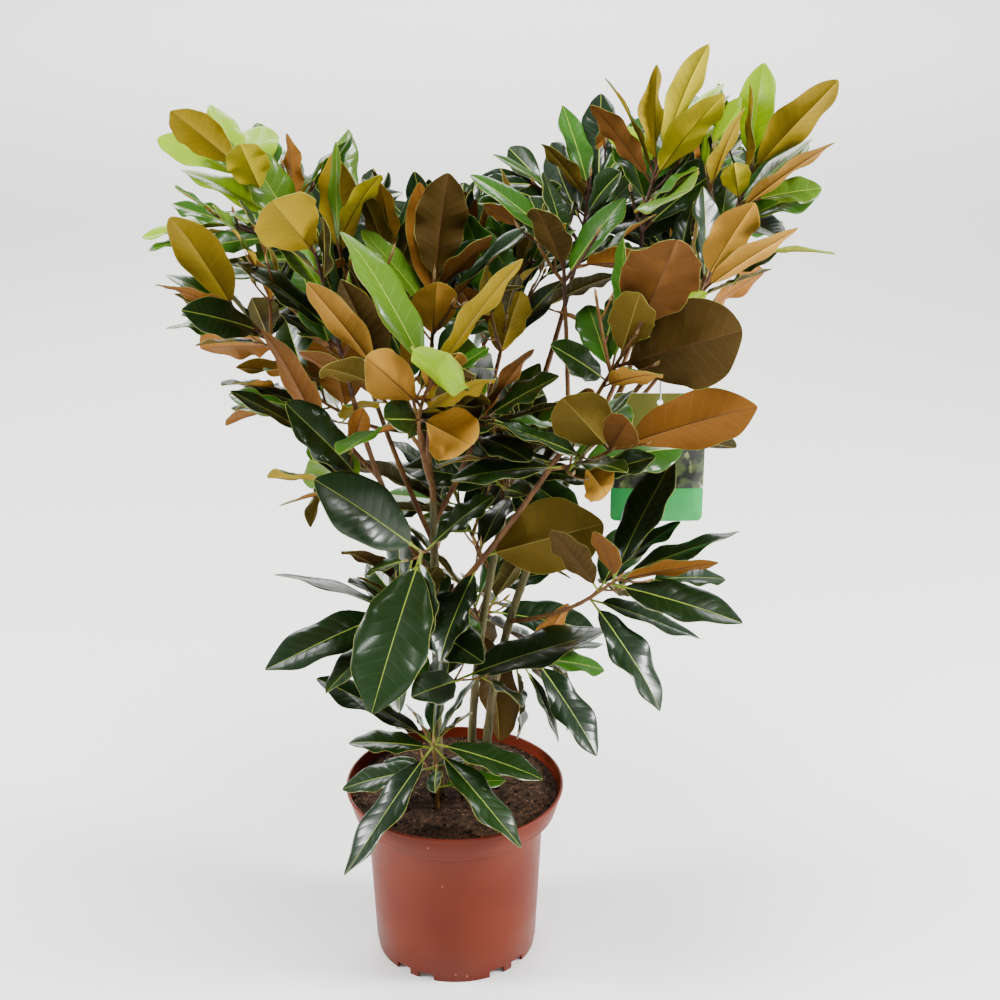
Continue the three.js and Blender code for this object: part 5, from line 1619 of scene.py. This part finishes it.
def drawn_rings(name, rings, sides):
    """A round closed solid, drawn ring by ring from its first circle: (radius, height) rows."""
    deselect()
    radius, height = rings[0]
    bpy.ops.mesh.primitive_circle_add(vertices=sides, radius=radius * MM, fill_type="NGON",
                                      location=(0, 0, height * MM))
    bpy.ops.object.transform_apply(location=True, rotation=True, scale=True)
    piece = start_edit(name)
    bpy.ops.mesh.select_all(action="SELECT")
    for next_radius, next_height in rings[1:]:
        move_and_scale(next_height - height, next_radius / radius)
        radius, height = next_radius, next_height
    bpy.ops.object.mode_set(mode="OBJECT")
    return piece


def arc_rings(centre, radius, first, last, count):
    """Points of a round in the wall: centre is (radius, height), angles in degrees."""
    rows = []
    for i in range(count + 1):
        angle = math.radians(first + (last - first) * i / count)
        rows.append((centre[0] + radius * math.cos(angle), centre[1] + radius * math.sin(angle)))
    return rows


def pot_rings():
    """The pot's section as (radius, height) rows: under the floor, up the outside, down again."""
    p, f = POT, POT_FINE
    wall = lambda z: p["rim_radius"] - COLLAR_SLOPE * (p["height"] - z)
    body = lambda z: p["base_radius"] + (p["body_radius"] - p["base_radius"]) * z / p["body_top"]
    bead = p["height"] - f["bead_drop"]
    lip = p["lip_round"]
    lip_height = p["height"] - lip
    foot = p["foot_height"]
    foot_inside = p["base_radius"] - p["foot_width"]
    shoulder = f["shoulder_round"]
    rings = [
        (p["hub_radius"], 0), (p["hub_radius"] + p["hub_slope"], foot),
        (foot_inside, foot), (foot_inside, 0), (body(0) - f["step_radius"], 0),
        (body(foot) - f["step_radius"], foot + f["step_slope"]),
    ]
    rings += [(body(z), z) for z in f["body_rings"]]
    rings.append((p["body_radius"] + f["body_flare"], p["body_top"]))
    rings += arc_rings((p["collar_radius"] - shoulder,
                        p["collar_bottom"] + shoulder - f["shoulder_sink"]), shoulder, -90, 0, 5)
    for z in (p["collar_bottom"] + f["collar_ring"], bead - f["bead_width"]):
        rings.append((wall(z), z))
    rings += [
        (wall(bead) - f["bead_depth"], bead - f["bead_flat"]), (wall(bead) - f["bead_depth"], bead),
        (p["rim_radius"], bead + f["bead_slope"]), (p["rim_radius"], lip_height),
    ]
    rings += arc_rings((p["rim_radius"] - lip, lip_height), lip, f["lip_from"], 90, 3)
    rings += arc_rings((p["rim_radius"] - p["wall"] + lip, lip_height), lip, 90, 180, 4)
    rings += [
        (p["collar_radius"] - p["wall"], p["collar_bottom"] + p["wall"]),
        (p["body_radius"] - p["wall"], p["body_top"] + p["wall"]),
        (p["base_radius"] - p["wall"], foot + p["floor"]),
    ]
    return rings


def nursery_pot():
    """The thin walled pot: wide collar, fine line under the lip, and a ring foot cut in feet."""
    pot = drawn_rings("nursery_pot", pot_rings(), POT["sides"])
    middle = POT["base_radius"] - POT["foot_width"] / 2
    width = 2 * middle * math.tan(math.radians(FEET["gap_width"] / 2))
    size = (4 * POT["foot_width"], width, 2 * POT["foot_height"])
    cutters = []
    for i in range(FEET["repeats"]):
        for side in (-1, 1):
            angle = math.radians(FEET["first_angle"] + 360 / FEET["repeats"] * i
                                 + side * FEET["gap_offset"])
            deselect()
            place = (middle * math.cos(angle) * MM, middle * math.sin(angle) * MM, 0)
            bpy.ops.mesh.primitive_cube_add(size=1, location=place, rotation=(0, 0, angle),
                                            scale=[v * MM for v in size])
            bpy.ops.object.transform_apply(location=True, rotation=True, scale=True)
            cutters.append(bpy.context.object)
    deselect()
    for cutter in cutters:
        cutter.select_set(True)
    bpy.context.view_layer.objects.active = cutters[0]
    bpy.ops.object.join()
    cutter = bpy.context.object
    apply_modifier(pot, "feet", "BOOLEAN", operation="DIFFERENCE", object=cutter, solver="EXACT")
    bpy.data.objects.remove(cutter)
    outward()
    apply_modifier(pot, "softened", "BEVEL", width=POT_FINE["bevel"] * MM, limit_method="ANGLE",
                   angle_limit=math.radians(POT_FINE["bevel_angle"]),
                   segments=POT_FINE["bevel_segments"])
    smooth_by_angle(pot, POT_FINE["smooth_angle"])
    return pot


def soil_height(x, y):
    """Peat surface: flat in the middle, lower at the wall, with lumps and small pits."""
    beyond = max(0, math.hypot(x, y) - SOIL["seat_radius"])
    height = SOIL["seat"] - (SOIL["seat"] - SOIL["edge_height"]) * beyond / SOIL["fall_over"]
    for width, rise, layer in SOIL["uneven"]:
        height += noise.noise(Vector((x, y, layer)) / width) * rise
    return height


def peat():
    """The root ball's peat: it fills the pot up to a crumbly, lightly mounded top."""
    inside = POT["wall"] + GAP
    edge = (POT["collar_radius"] - inside
            + COLLAR_SLOPE * (SOIL["edge_height"] - POT["collar_bottom"] - POT["wall"]))
    soil = drawn_rings("peat", [
        (POT["base_radius"] - inside, POT["foot_height"] + POT["floor"] + GAP),
        (POT["body_radius"] - inside, POT["body_top"] + POT["wall"] + GAP),
        (POT["collar_radius"] - inside, POT["collar_bottom"] + POT["wall"] + GAP),
        (edge, SOIL["edge_height"]),
    ], SOIL["sides"])
    activate(soil)
    bpy.ops.object.mode_set(mode="EDIT")
    choose(soil, lambda centre, normal: normal.z > 0.9)
    for _ in range(SOIL["rings"]):
        bpy.ops.mesh.inset(thickness=edge / (SOIL["rings"] + 1) * MM)
    bpy.ops.object.mode_set(mode="OBJECT")
    for vertex in soil.data.vertices:
        x, y, z = vertex.co / MM
        if z > SOIL["edge_height"] - 0.01 and math.hypot(x, y) < edge - 0.5:
            vertex.co.z = soil_height(x, y) * MM
    smooth_by_angle(soil, 60)
    return soil


CRUMBS = dict(
    seed=77, edge=6,
    lumps=1500, lump=0.5, lump_spread=2.3, uneven=0.55, uneven_spread=0.7, flat=0.75,
    lump_lift=0.25, dark_share=0.55,
    fibres=420, fibre=3, fibre_spread=11, fibre_half=0.28, fibre_bend=0.12, fibre_lift=0.7,
    straw_share=0.5,
)
OCTAHEDRON = np.array([[1, 0, 0], [-1, 0, 0], [0, 1, 0], [0, -1, 0], [0, 0, 1], [0, 0, -1]], float)
OCTAHEDRON_FACES = np.array([
    (0, 2, 4, -1), (2, 1, 4, -1), (1, 3, 4, -1), (3, 0, 4, -1),
    (2, 0, 5, -1), (1, 2, 5, -1), (3, 1, 5, -1), (0, 3, 5, -1)])


def peat_lump(rng):
    """An uneven lump: its points, how high it lies, and its kind."""
    size = CRUMBS["lump"] + CRUMBS["lump_spread"] * rng.random() ** 3
    shape = OCTAHEDRON * size * (CRUMBS["uneven"] + CRUMBS["uneven_spread"] * rng.random((6, 1)))
    shape[:, 2] *= CRUMBS["flat"]
    kind = "peat_dark" if rng.random() < CRUMBS["dark_share"] else "peat_brown"
    return shape, size * CRUMBS["lump_lift"], kind


def peat_fibre(rng):
    """A thin fibre that tilts a little: its points, how high it lies, and its kind."""
    length = CRUMBS["fibre"] + CRUMBS["fibre_spread"] * rng.random() ** 2
    shape = OCTAHEDRON * np.array([length / 2, CRUMBS["fibre_half"], CRUMBS["fibre_half"]])
    tilt = length * CRUMBS["fibre_bend"] * (rng.random() - 0.5)
    shape[:, 2] += np.array([1, -1, 0, 0, 0, 0]) * tilt
    kind = "peat_straw" if rng.random() < CRUMBS["straw_share"] else "peat_brown"
    return shape, CRUMBS["fibre_lift"], kind


def peat_crumbs():
    """Loose lumps and fibres that lie on the peat."""
    rng = np.random.default_rng(CRUMBS["seed"])
    rows = Rows()
    reach = POT["rim_radius"] - POT["wall"] - CRUMBS["edge"]
    for i in range(CRUMBS["lumps"] + CRUMBS["fibres"]):
        radius = reach * math.sqrt(rng.random())
        angle = 2 * math.pi * rng.random()
        x, y = radius * math.cos(angle), radius * math.sin(angle)
        turn = 2 * math.pi * rng.random()
        shape, lift, kind = peat_lump(rng) if i < CRUMBS["lumps"] else peat_fibre(rng)
        c, k = math.cos(turn), math.sin(turn)
        shape = shape @ np.array([[c, k, 0], [-k, c, 0], [0, 0, 1]])
        place = np.array([x, y, soil_height(x, y) + lift])
        rows.add(shape + place, OCTAHEDRON_FACES, np.full(len(OCTAHEDRON_FACES), KIND[kind]))
    return rows


BARK = dict(
    sides=14, step=4.5, fewest_steps=10, sink=3, smooth_angle=50,
    node_every=[22, 34], node_step=0.618, node_shift=7, node=0.14, node_width=1.5,  # ring scars
    lump=0.09, lumps_round=1.4, lump_length=26, lump_shift=5,
    ridge=0.05, ridges_round=4, ridge_length=9,
    root=0.35, root_length=12,  # a bough is thicker where it leaves another's side
)


def bark_swell(number, row):
    """How much thicker a limb is at a place, by ring scars, lumps, ridges and its root."""
    low, high = BARK["node_every"]
    every = low + (high - low) * ((number * BARK["node_step"]) % 1)
    rooted = "on" in row and row["at"] < 1

    def swell(away, angle):
        ring = abs((away + number * BARK["node_shift"]) % every - every / 2) / BARK["node_width"]
        total = BARK["node"] * math.exp(-ring * ring)
        x, y = (BARK["lumps_round"] * part for part in (math.cos(angle), math.sin(angle)))
        along = away / BARK["lump_length"] + number * BARK["lump_shift"]
        total += BARK["lump"] * noise.noise(Vector((x, y, along)))
        close = BARK["ridges_round"]
        ridge = Vector((x * close, y * close, away / BARK["ridge_length"]))
        total += BARK["ridge"] * noise.noise(ridge)
        if rooted:
            total += BARK["root"] * max(0, 1 - away / BARK["root_length"]) ** 2
        return total

    return swell


def limb_bark(name, number, row, curve):
    """One limb with its taper, flare, ring scars and shallow ridges."""
    deselect()
    length = curve.span()
    steps = max(BARK["fewest_steps"], round(length / BARK["step"]))
    bpy.ops.mesh.primitive_cylinder_add(vertices=BARK["sides"], radius=1, depth=1,
                                        end_fill_type="NGON")
    piece = start_edit("bark_" + name)
    choose(piece, lambda a, b: abs(a.z - b.z) > 0.5 / MM, "edges")
    bpy.ops.mesh.subdivide(number_cuts=steps - 1)
    bpy.ops.object.mode_set(mode="OBJECT")
    radius = limb_radius(row)
    swell = bark_swell(number, row)
    foot = BARK["sink"] if "start" in row else 0
    frames = {}
    for vertex in piece.data.vertices:
        t = min(1, max(0, vertex.co.z + 0.5))
        key = round(t * steps)
        if key not in frames:
            axis = curve.heading(t)
            side = side_of(axis)
            frames[key] = (curve.point(t), side, np.cross(axis, side))
        centre, side, up = frames[key]
        angle = math.atan2(vertex.co.y, vertex.co.x)
        size = radius(t) * (1 + swell(t * length, angle))
        place = centre + (side * math.cos(angle) + up * math.sin(angle)) * size
        if t == 0:
            place = place - UP * foot
        vertex.co = Vector(place.tolist()) * MM
    outward()
    smooth_by_angle(piece, BARK["smooth_angle"])
    return piece


CARD = dict(
    green_band=0.26,    # of the height, from the bottom
    picture_top=0.57,
    strip=0.71,         # of the width, from the left
    corner_segments=6, hole_sides=32, edge=0.22, bow=1.6, cuts=7,
)
CARD_FIELDS = ["card_back", "card_green", "card_blurred_field", "card_olive", "card_strip"]


def card_field(face, bottom, left):
    """Which printed field of the card a face belongs to."""
    if face.normal.y > -0.5:
        return "card_back"
    part = (face.center.z / MM - bottom) / LABEL["height"]
    if part < CARD["green_band"]:
        return "card_green"
    if part < CARD["picture_top"]:
        return "card_blurred_field"
    beside = face.center.x / MM < left + LABEL["width"] * CARD["strip"]
    return "card_olive" if beside else "card_strip"


def label_card(hole, finishes):
    """The hanging card: rounded corners, a punched hole and plain printed fields."""
    width, height, thick = LABEL["width"], LABEL["height"], LABEL["thickness"]
    top = hole[2] + LABEL["hole_below_top"]
    bottom, left = top - height, hole[0] - width / 2
    deselect()
    bpy.ops.mesh.primitive_cube_add(
        size=1, location=(hole[0] * MM, hole[1] * MM, (top + bottom) / 2 * MM),
        scale=(width * MM, thick * MM, height * MM))
    bpy.ops.object.transform_apply(location=True, rotation=True, scale=True)
    card = start_edit("label_card")
    corner = lambda a, b: abs(a.y - b.y) > thick * 0.9 and abs(a.x - b.x) < 0.01
    choose(card, corner, "edges")
    bpy.ops.mesh.bevel(offset=LABEL["corner"] * MM, segments=CARD["corner_segments"])
    cuts = [((0, 0, bottom + height * CARD["green_band"]), (0, 0, 1)),
            ((0, 0, bottom + height * CARD["picture_top"]), (0, 0, 1)),
            ((left + width * CARD["strip"], 0, 0), (1, 0, 0))]
    for i in range(1, CARD["cuts"]):
        cuts.append(((left + width * i / CARD["cuts"], 0, 0), (1, 0, 0)))
    for place, square in cuts:
        bpy.ops.mesh.select_all(action="SELECT")
        bpy.ops.mesh.bisect(plane_co=[v * MM for v in place], plane_no=square)
    bpy.ops.object.mode_set(mode="OBJECT")
    deselect()
    bpy.ops.mesh.primitive_cylinder_add(
        vertices=CARD["hole_sides"], radius=LABEL["hole_radius"] * MM, depth=6 * thick * MM,
        location=[v * MM for v in hole], rotation=(math.pi / 2, 0, 0))
    bpy.ops.object.transform_apply(location=True, rotation=True, scale=True)
    punch = bpy.context.object
    apply_modifier(card, "hole", "BOOLEAN", operation="DIFFERENCE", object=punch, solver="EXACT")
    bpy.data.objects.remove(punch)
    outward()
    apply_modifier(card, "edges", "BEVEL", width=CARD["edge"] * MM, limit_method="ANGLE",
                   angle_limit=math.radians(60), segments=2)
    card.data.materials.clear()
    for name in CARD_FIELDS:
        card.data.materials.append(finishes[name])
    for face in card.data.polygons:
        face.material_index = CARD_FIELDS.index(card_field(face, bottom, left))
    for vertex in card.data.vertices:
        across = (vertex.co.x / MM - hole[0]) / (width / 2)
        vertex.co.y += CARD["bow"] * across * across * MM
    smooth_by_angle(card, 35)
    return card


def label_string(hole):
    """The thin loop that holds the card: through its hole and over the bough."""
    low = LABEL["hole_radius"] - LABEL["cord_radius"] - GAP
    high = LABEL["drop"] + LABEL["ring_over"]
    stretch = (high - low) / 2 - LABEL["ring_radius"]
    middle = hole[2] + (high + low) / 2
    deselect()
    bpy.ops.mesh.primitive_torus_add(
        location=(hole[0] * MM, hole[1] * MM, middle * MM), rotation=(0, math.pi / 2, 0),
        major_segments=40, minor_segments=10, major_radius=LABEL["ring_radius"] * MM,
        minor_radius=LABEL["cord_radius"] * MM)
    bpy.ops.object.transform_apply(location=True, rotation=True, scale=True)
    loop = start_edit("label_string")
    for side in (1, -1):
        bpy.ops.mesh.select_all(action="DESELECT")
        bpy.ops.object.mode_set(mode="OBJECT")
        for vertex in loop.data.vertices:
            vertex.select = bool(side * (vertex.co.z / MM - middle) > 0.01)
        bpy.ops.object.mode_set(mode="EDIT")
        bpy.ops.transform.translate(value=(0, 0, side * stretch * MM))
    bpy.ops.object.mode_set(mode="OBJECT")
    outward()
    smooth_by_angle(loop, 60)
    return loop


# -------------------- studio

STUDIO = dict(
    sky=0.24, floor=60,
    lamps=[  # name, place, aim, size, power
        ("left", (-2.3, -0.25, 1.6), (0, 0, 0.5), 0.7, 105),
        ("right", (2.3, -0.25, 1.4), (0, 0, 0.45), 0.7, 135),
        ("top", (0.1, -0.5, 2.9), (0, 0, 0.55), 0.9, 84),
        ("back", (-0.6, 2.3, 1.8), (0, 0, 0.55), 1.4, 30),
        ("far_back", (0, 7, 4), (0, 7, 0), 6, 800),
        ("far_front", (0, -8, 4), (0, -8, 0), 6, 220),
        ("far_left", (-8, 0, 4), (-8, 0, 0), 6, 400),
        ("far_right", (8, 0, 4), (8, 0, 0), 6, 400),
    ],
)
CAMERA = dict(place=(0.05, -1.815, 1.317), down=23.1, lens=68.4, sensor=36)


def studio(finishes):
    """Pale floor, soft lamps round the object and at a distance, and the camera."""
    deselect()
    bpy.ops.mesh.primitive_plane_add(size=STUDIO["floor"], location=(0, 0, 0))
    floor = bpy.context.object
    floor.name = "studio_floor"
    floor.data.materials.append(finishes["floor"])
    floor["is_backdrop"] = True
    world = bpy.data.worlds.new("studio")
    world.use_nodes = True
    world.node_tree.nodes["Background"].inputs["Color"].default_value = (1, 1, 1, 1)
    world.node_tree.nodes["Background"].inputs["Strength"].default_value = STUDIO["sky"]
    bpy.context.scene.world = world
    for name, place, aim, size, power in STUDIO["lamps"]:
        light = bpy.data.lights.new(name, "AREA")
        light.size = size
        light.energy = power
        lamp = bpy.data.objects.new(name, light)
        bpy.context.collection.objects.link(lamp)
        lamp.location = place
        lamp.rotation_euler = (Vector(aim) - Vector(place)).to_track_quat("-Z", "Y").to_euler()
    view = bpy.data.cameras.new("camera")
    view.sensor_width = CAMERA["sensor"]
    view.lens = CAMERA["lens"]
    camera = bpy.data.objects.new("camera", view)
    bpy.context.collection.objects.link(camera)
    camera.location = CAMERA["place"]
    camera.rotation_euler = (math.radians(90 - CAMERA["down"]), 0, 0)
    bpy.context.scene.camera = camera


# -------------------- the whole plant

# Masses that are joined in one piece of foliage.
FOLIAGE = {
    "left_crown": ["left_front", "left_far", "left_upper", "left_low"],
    "left_back_crown": ["left_back", "left_back_low", "centre_left"],
    "front_crown": ["centre_front", "left_mid", "centre_top", "centre_mid"],
    "inner_crown": ["inner", "inner_low", "inner_top", "right_inner"],
    "right_crown": ["right_front", "right_mid", "right_far_mid", "right_side"],
    "back_crown": ["centre_back", "right_back", "back_mid"],
    "low_crown": ["low_front", "low_left", "low_middle", "low_back", "low_right", "sprout",
                  "right_leaf", "right_low"],
    "young_crown": YOUNG_MASSES,
}


def spur_bears(spur, feet):
    """Whether one of the leaves' feet is at a spur's end."""
    reach = spur["curve"].span() * SPUR["foot_reach"] + SPUR["foot_over"]
    return np.linalg.norm(feet - spur["curve"].end, axis=1).min() < reach


def grow_plant(rng):
    """Grows limbs, shoots, leaves and spurs as curves and rows, before any is modelled."""
    curves, room = {}, Room()
    for name, row in LIMBS.items():
        curves[name] = curve_of(row, curves)
        room.mark(name, curves[name], limb_radius(row))
    room.hole = curves[LABEL["on"]].point(LABEL["at"]) - UP * LABEL["drop"]
    stems = {mass["name"]: curve_of(mass, curves) for mass in MASSES}
    for name, stem in stems.items():
        room.mark(name, stem, taper(TWIG["stem_radius"]))
    shoots = {}
    for index, mass in enumerate(MASSES):
        shoots[mass["name"]] = shoots_of(mass, index, stems[mass["name"]], room)
    room.freeze()
    grow_leaves(stems, shoots, room)
    count = len(room.placed)
    spurs = grow_spurs(shoots, room)
    leaves = dress_leaves(room.placed, len(room.placed) - count, rng)
    feet = np.array([item["leaf"]["base"] for item in leaves])
    spurs = [spur for spur in spurs if spur_bears(spur, feet)]
    return curves, shoots, spurs, leaves, room.hole


def build_limbs(curves, finishes):
    for number, (name, row) in enumerate(LIMBS.items()):
        piece = limb_bark(name, number, row, curves[name])
        piece.data.materials.append(finishes["bark_olive" if "start" in row else "bark_red"])
        ride_as(piece, "bark", name)


def build_foliage(leaves, finishes):
    for group, names in FOLIAGE.items():
        blades = Rows()
        for item in leaves:
            if item["mass"] in names:
                add_leaf(blades, item["leaf"], item["mass"], item["draws"])
        slot = "young_leaves" if group == "young_crown" else "leaves"
        piece = joined_piece("foliage_" + group, blades, finishes)
        ride_as(piece, slot, *("leaves_" + name for name in names))


def build_twigs(shoots, spurs, rng, finishes):
    """Twigs and buds, each kind joined in one piece; the number seeds a twig's scars."""
    numbered = []
    for names in FOLIAGE.values():
        for name in names:
            numbered += [(seed + len(name), shoot) for seed, shoot in enumerate(shoots[name])]
    numbered += enumerate(spurs)
    twigs, buds = Rows(), Rows()
    for seed, shoot in numbered:
        add_twig(twigs, shoot, seed)
        add_bud(buds, shoot, rng)
    ride_as(joined_piece("twigs", twigs, finishes), "bark")
    ride_as(joined_piece("buds", buds, finishes), "bark")


def build_label(hole, finishes):
    ride_as(label_card(hole, finishes), "label_card", "label")
    loop = label_string(hole)
    loop.data.materials.append(finishes["cord"])
    ride_as(loop, "label_cord", "label_loop")


def build_plant(finishes):
    rng = np.random.default_rng(BLADE["seed"])
    curves, shoots, spurs, leaves, hole = grow_plant(rng)
    build_limbs(curves, finishes)
    build_foliage(leaves, finishes)
    build_twigs(shoots, spurs, rng, finishes)
    build_label(hole, finishes)


def ride_as(piece, slot, *nodes):
    """Hangs a piece on the plant's body and hides the nodes it takes the place of; its slot is not used.
    """
    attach(piece, ROOT)
    if nodes:
        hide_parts(*nodes)


def build_pot(finishes):
    pot = nursery_pot()
    pot.data.materials.append(finishes["pot"])
    ride_as(pot, "pot_plastic", "pot")
    soil = peat()
    soil.data.materials.append(finishes["peat"])
    ride_as(soil, "potting_soil", "soil")
    ride_as(joined_piece("peat_crumbs", peat_crumbs(), finishes), "potting_soil")


finishes = all_finishes()
studio(finishes)
build_pot(finishes)
build_plant(finishes)

({"cad": [list(map(float, corner)) for corner in cad_bounds],
           "visual": [list(map(float, corner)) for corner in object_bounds()]})
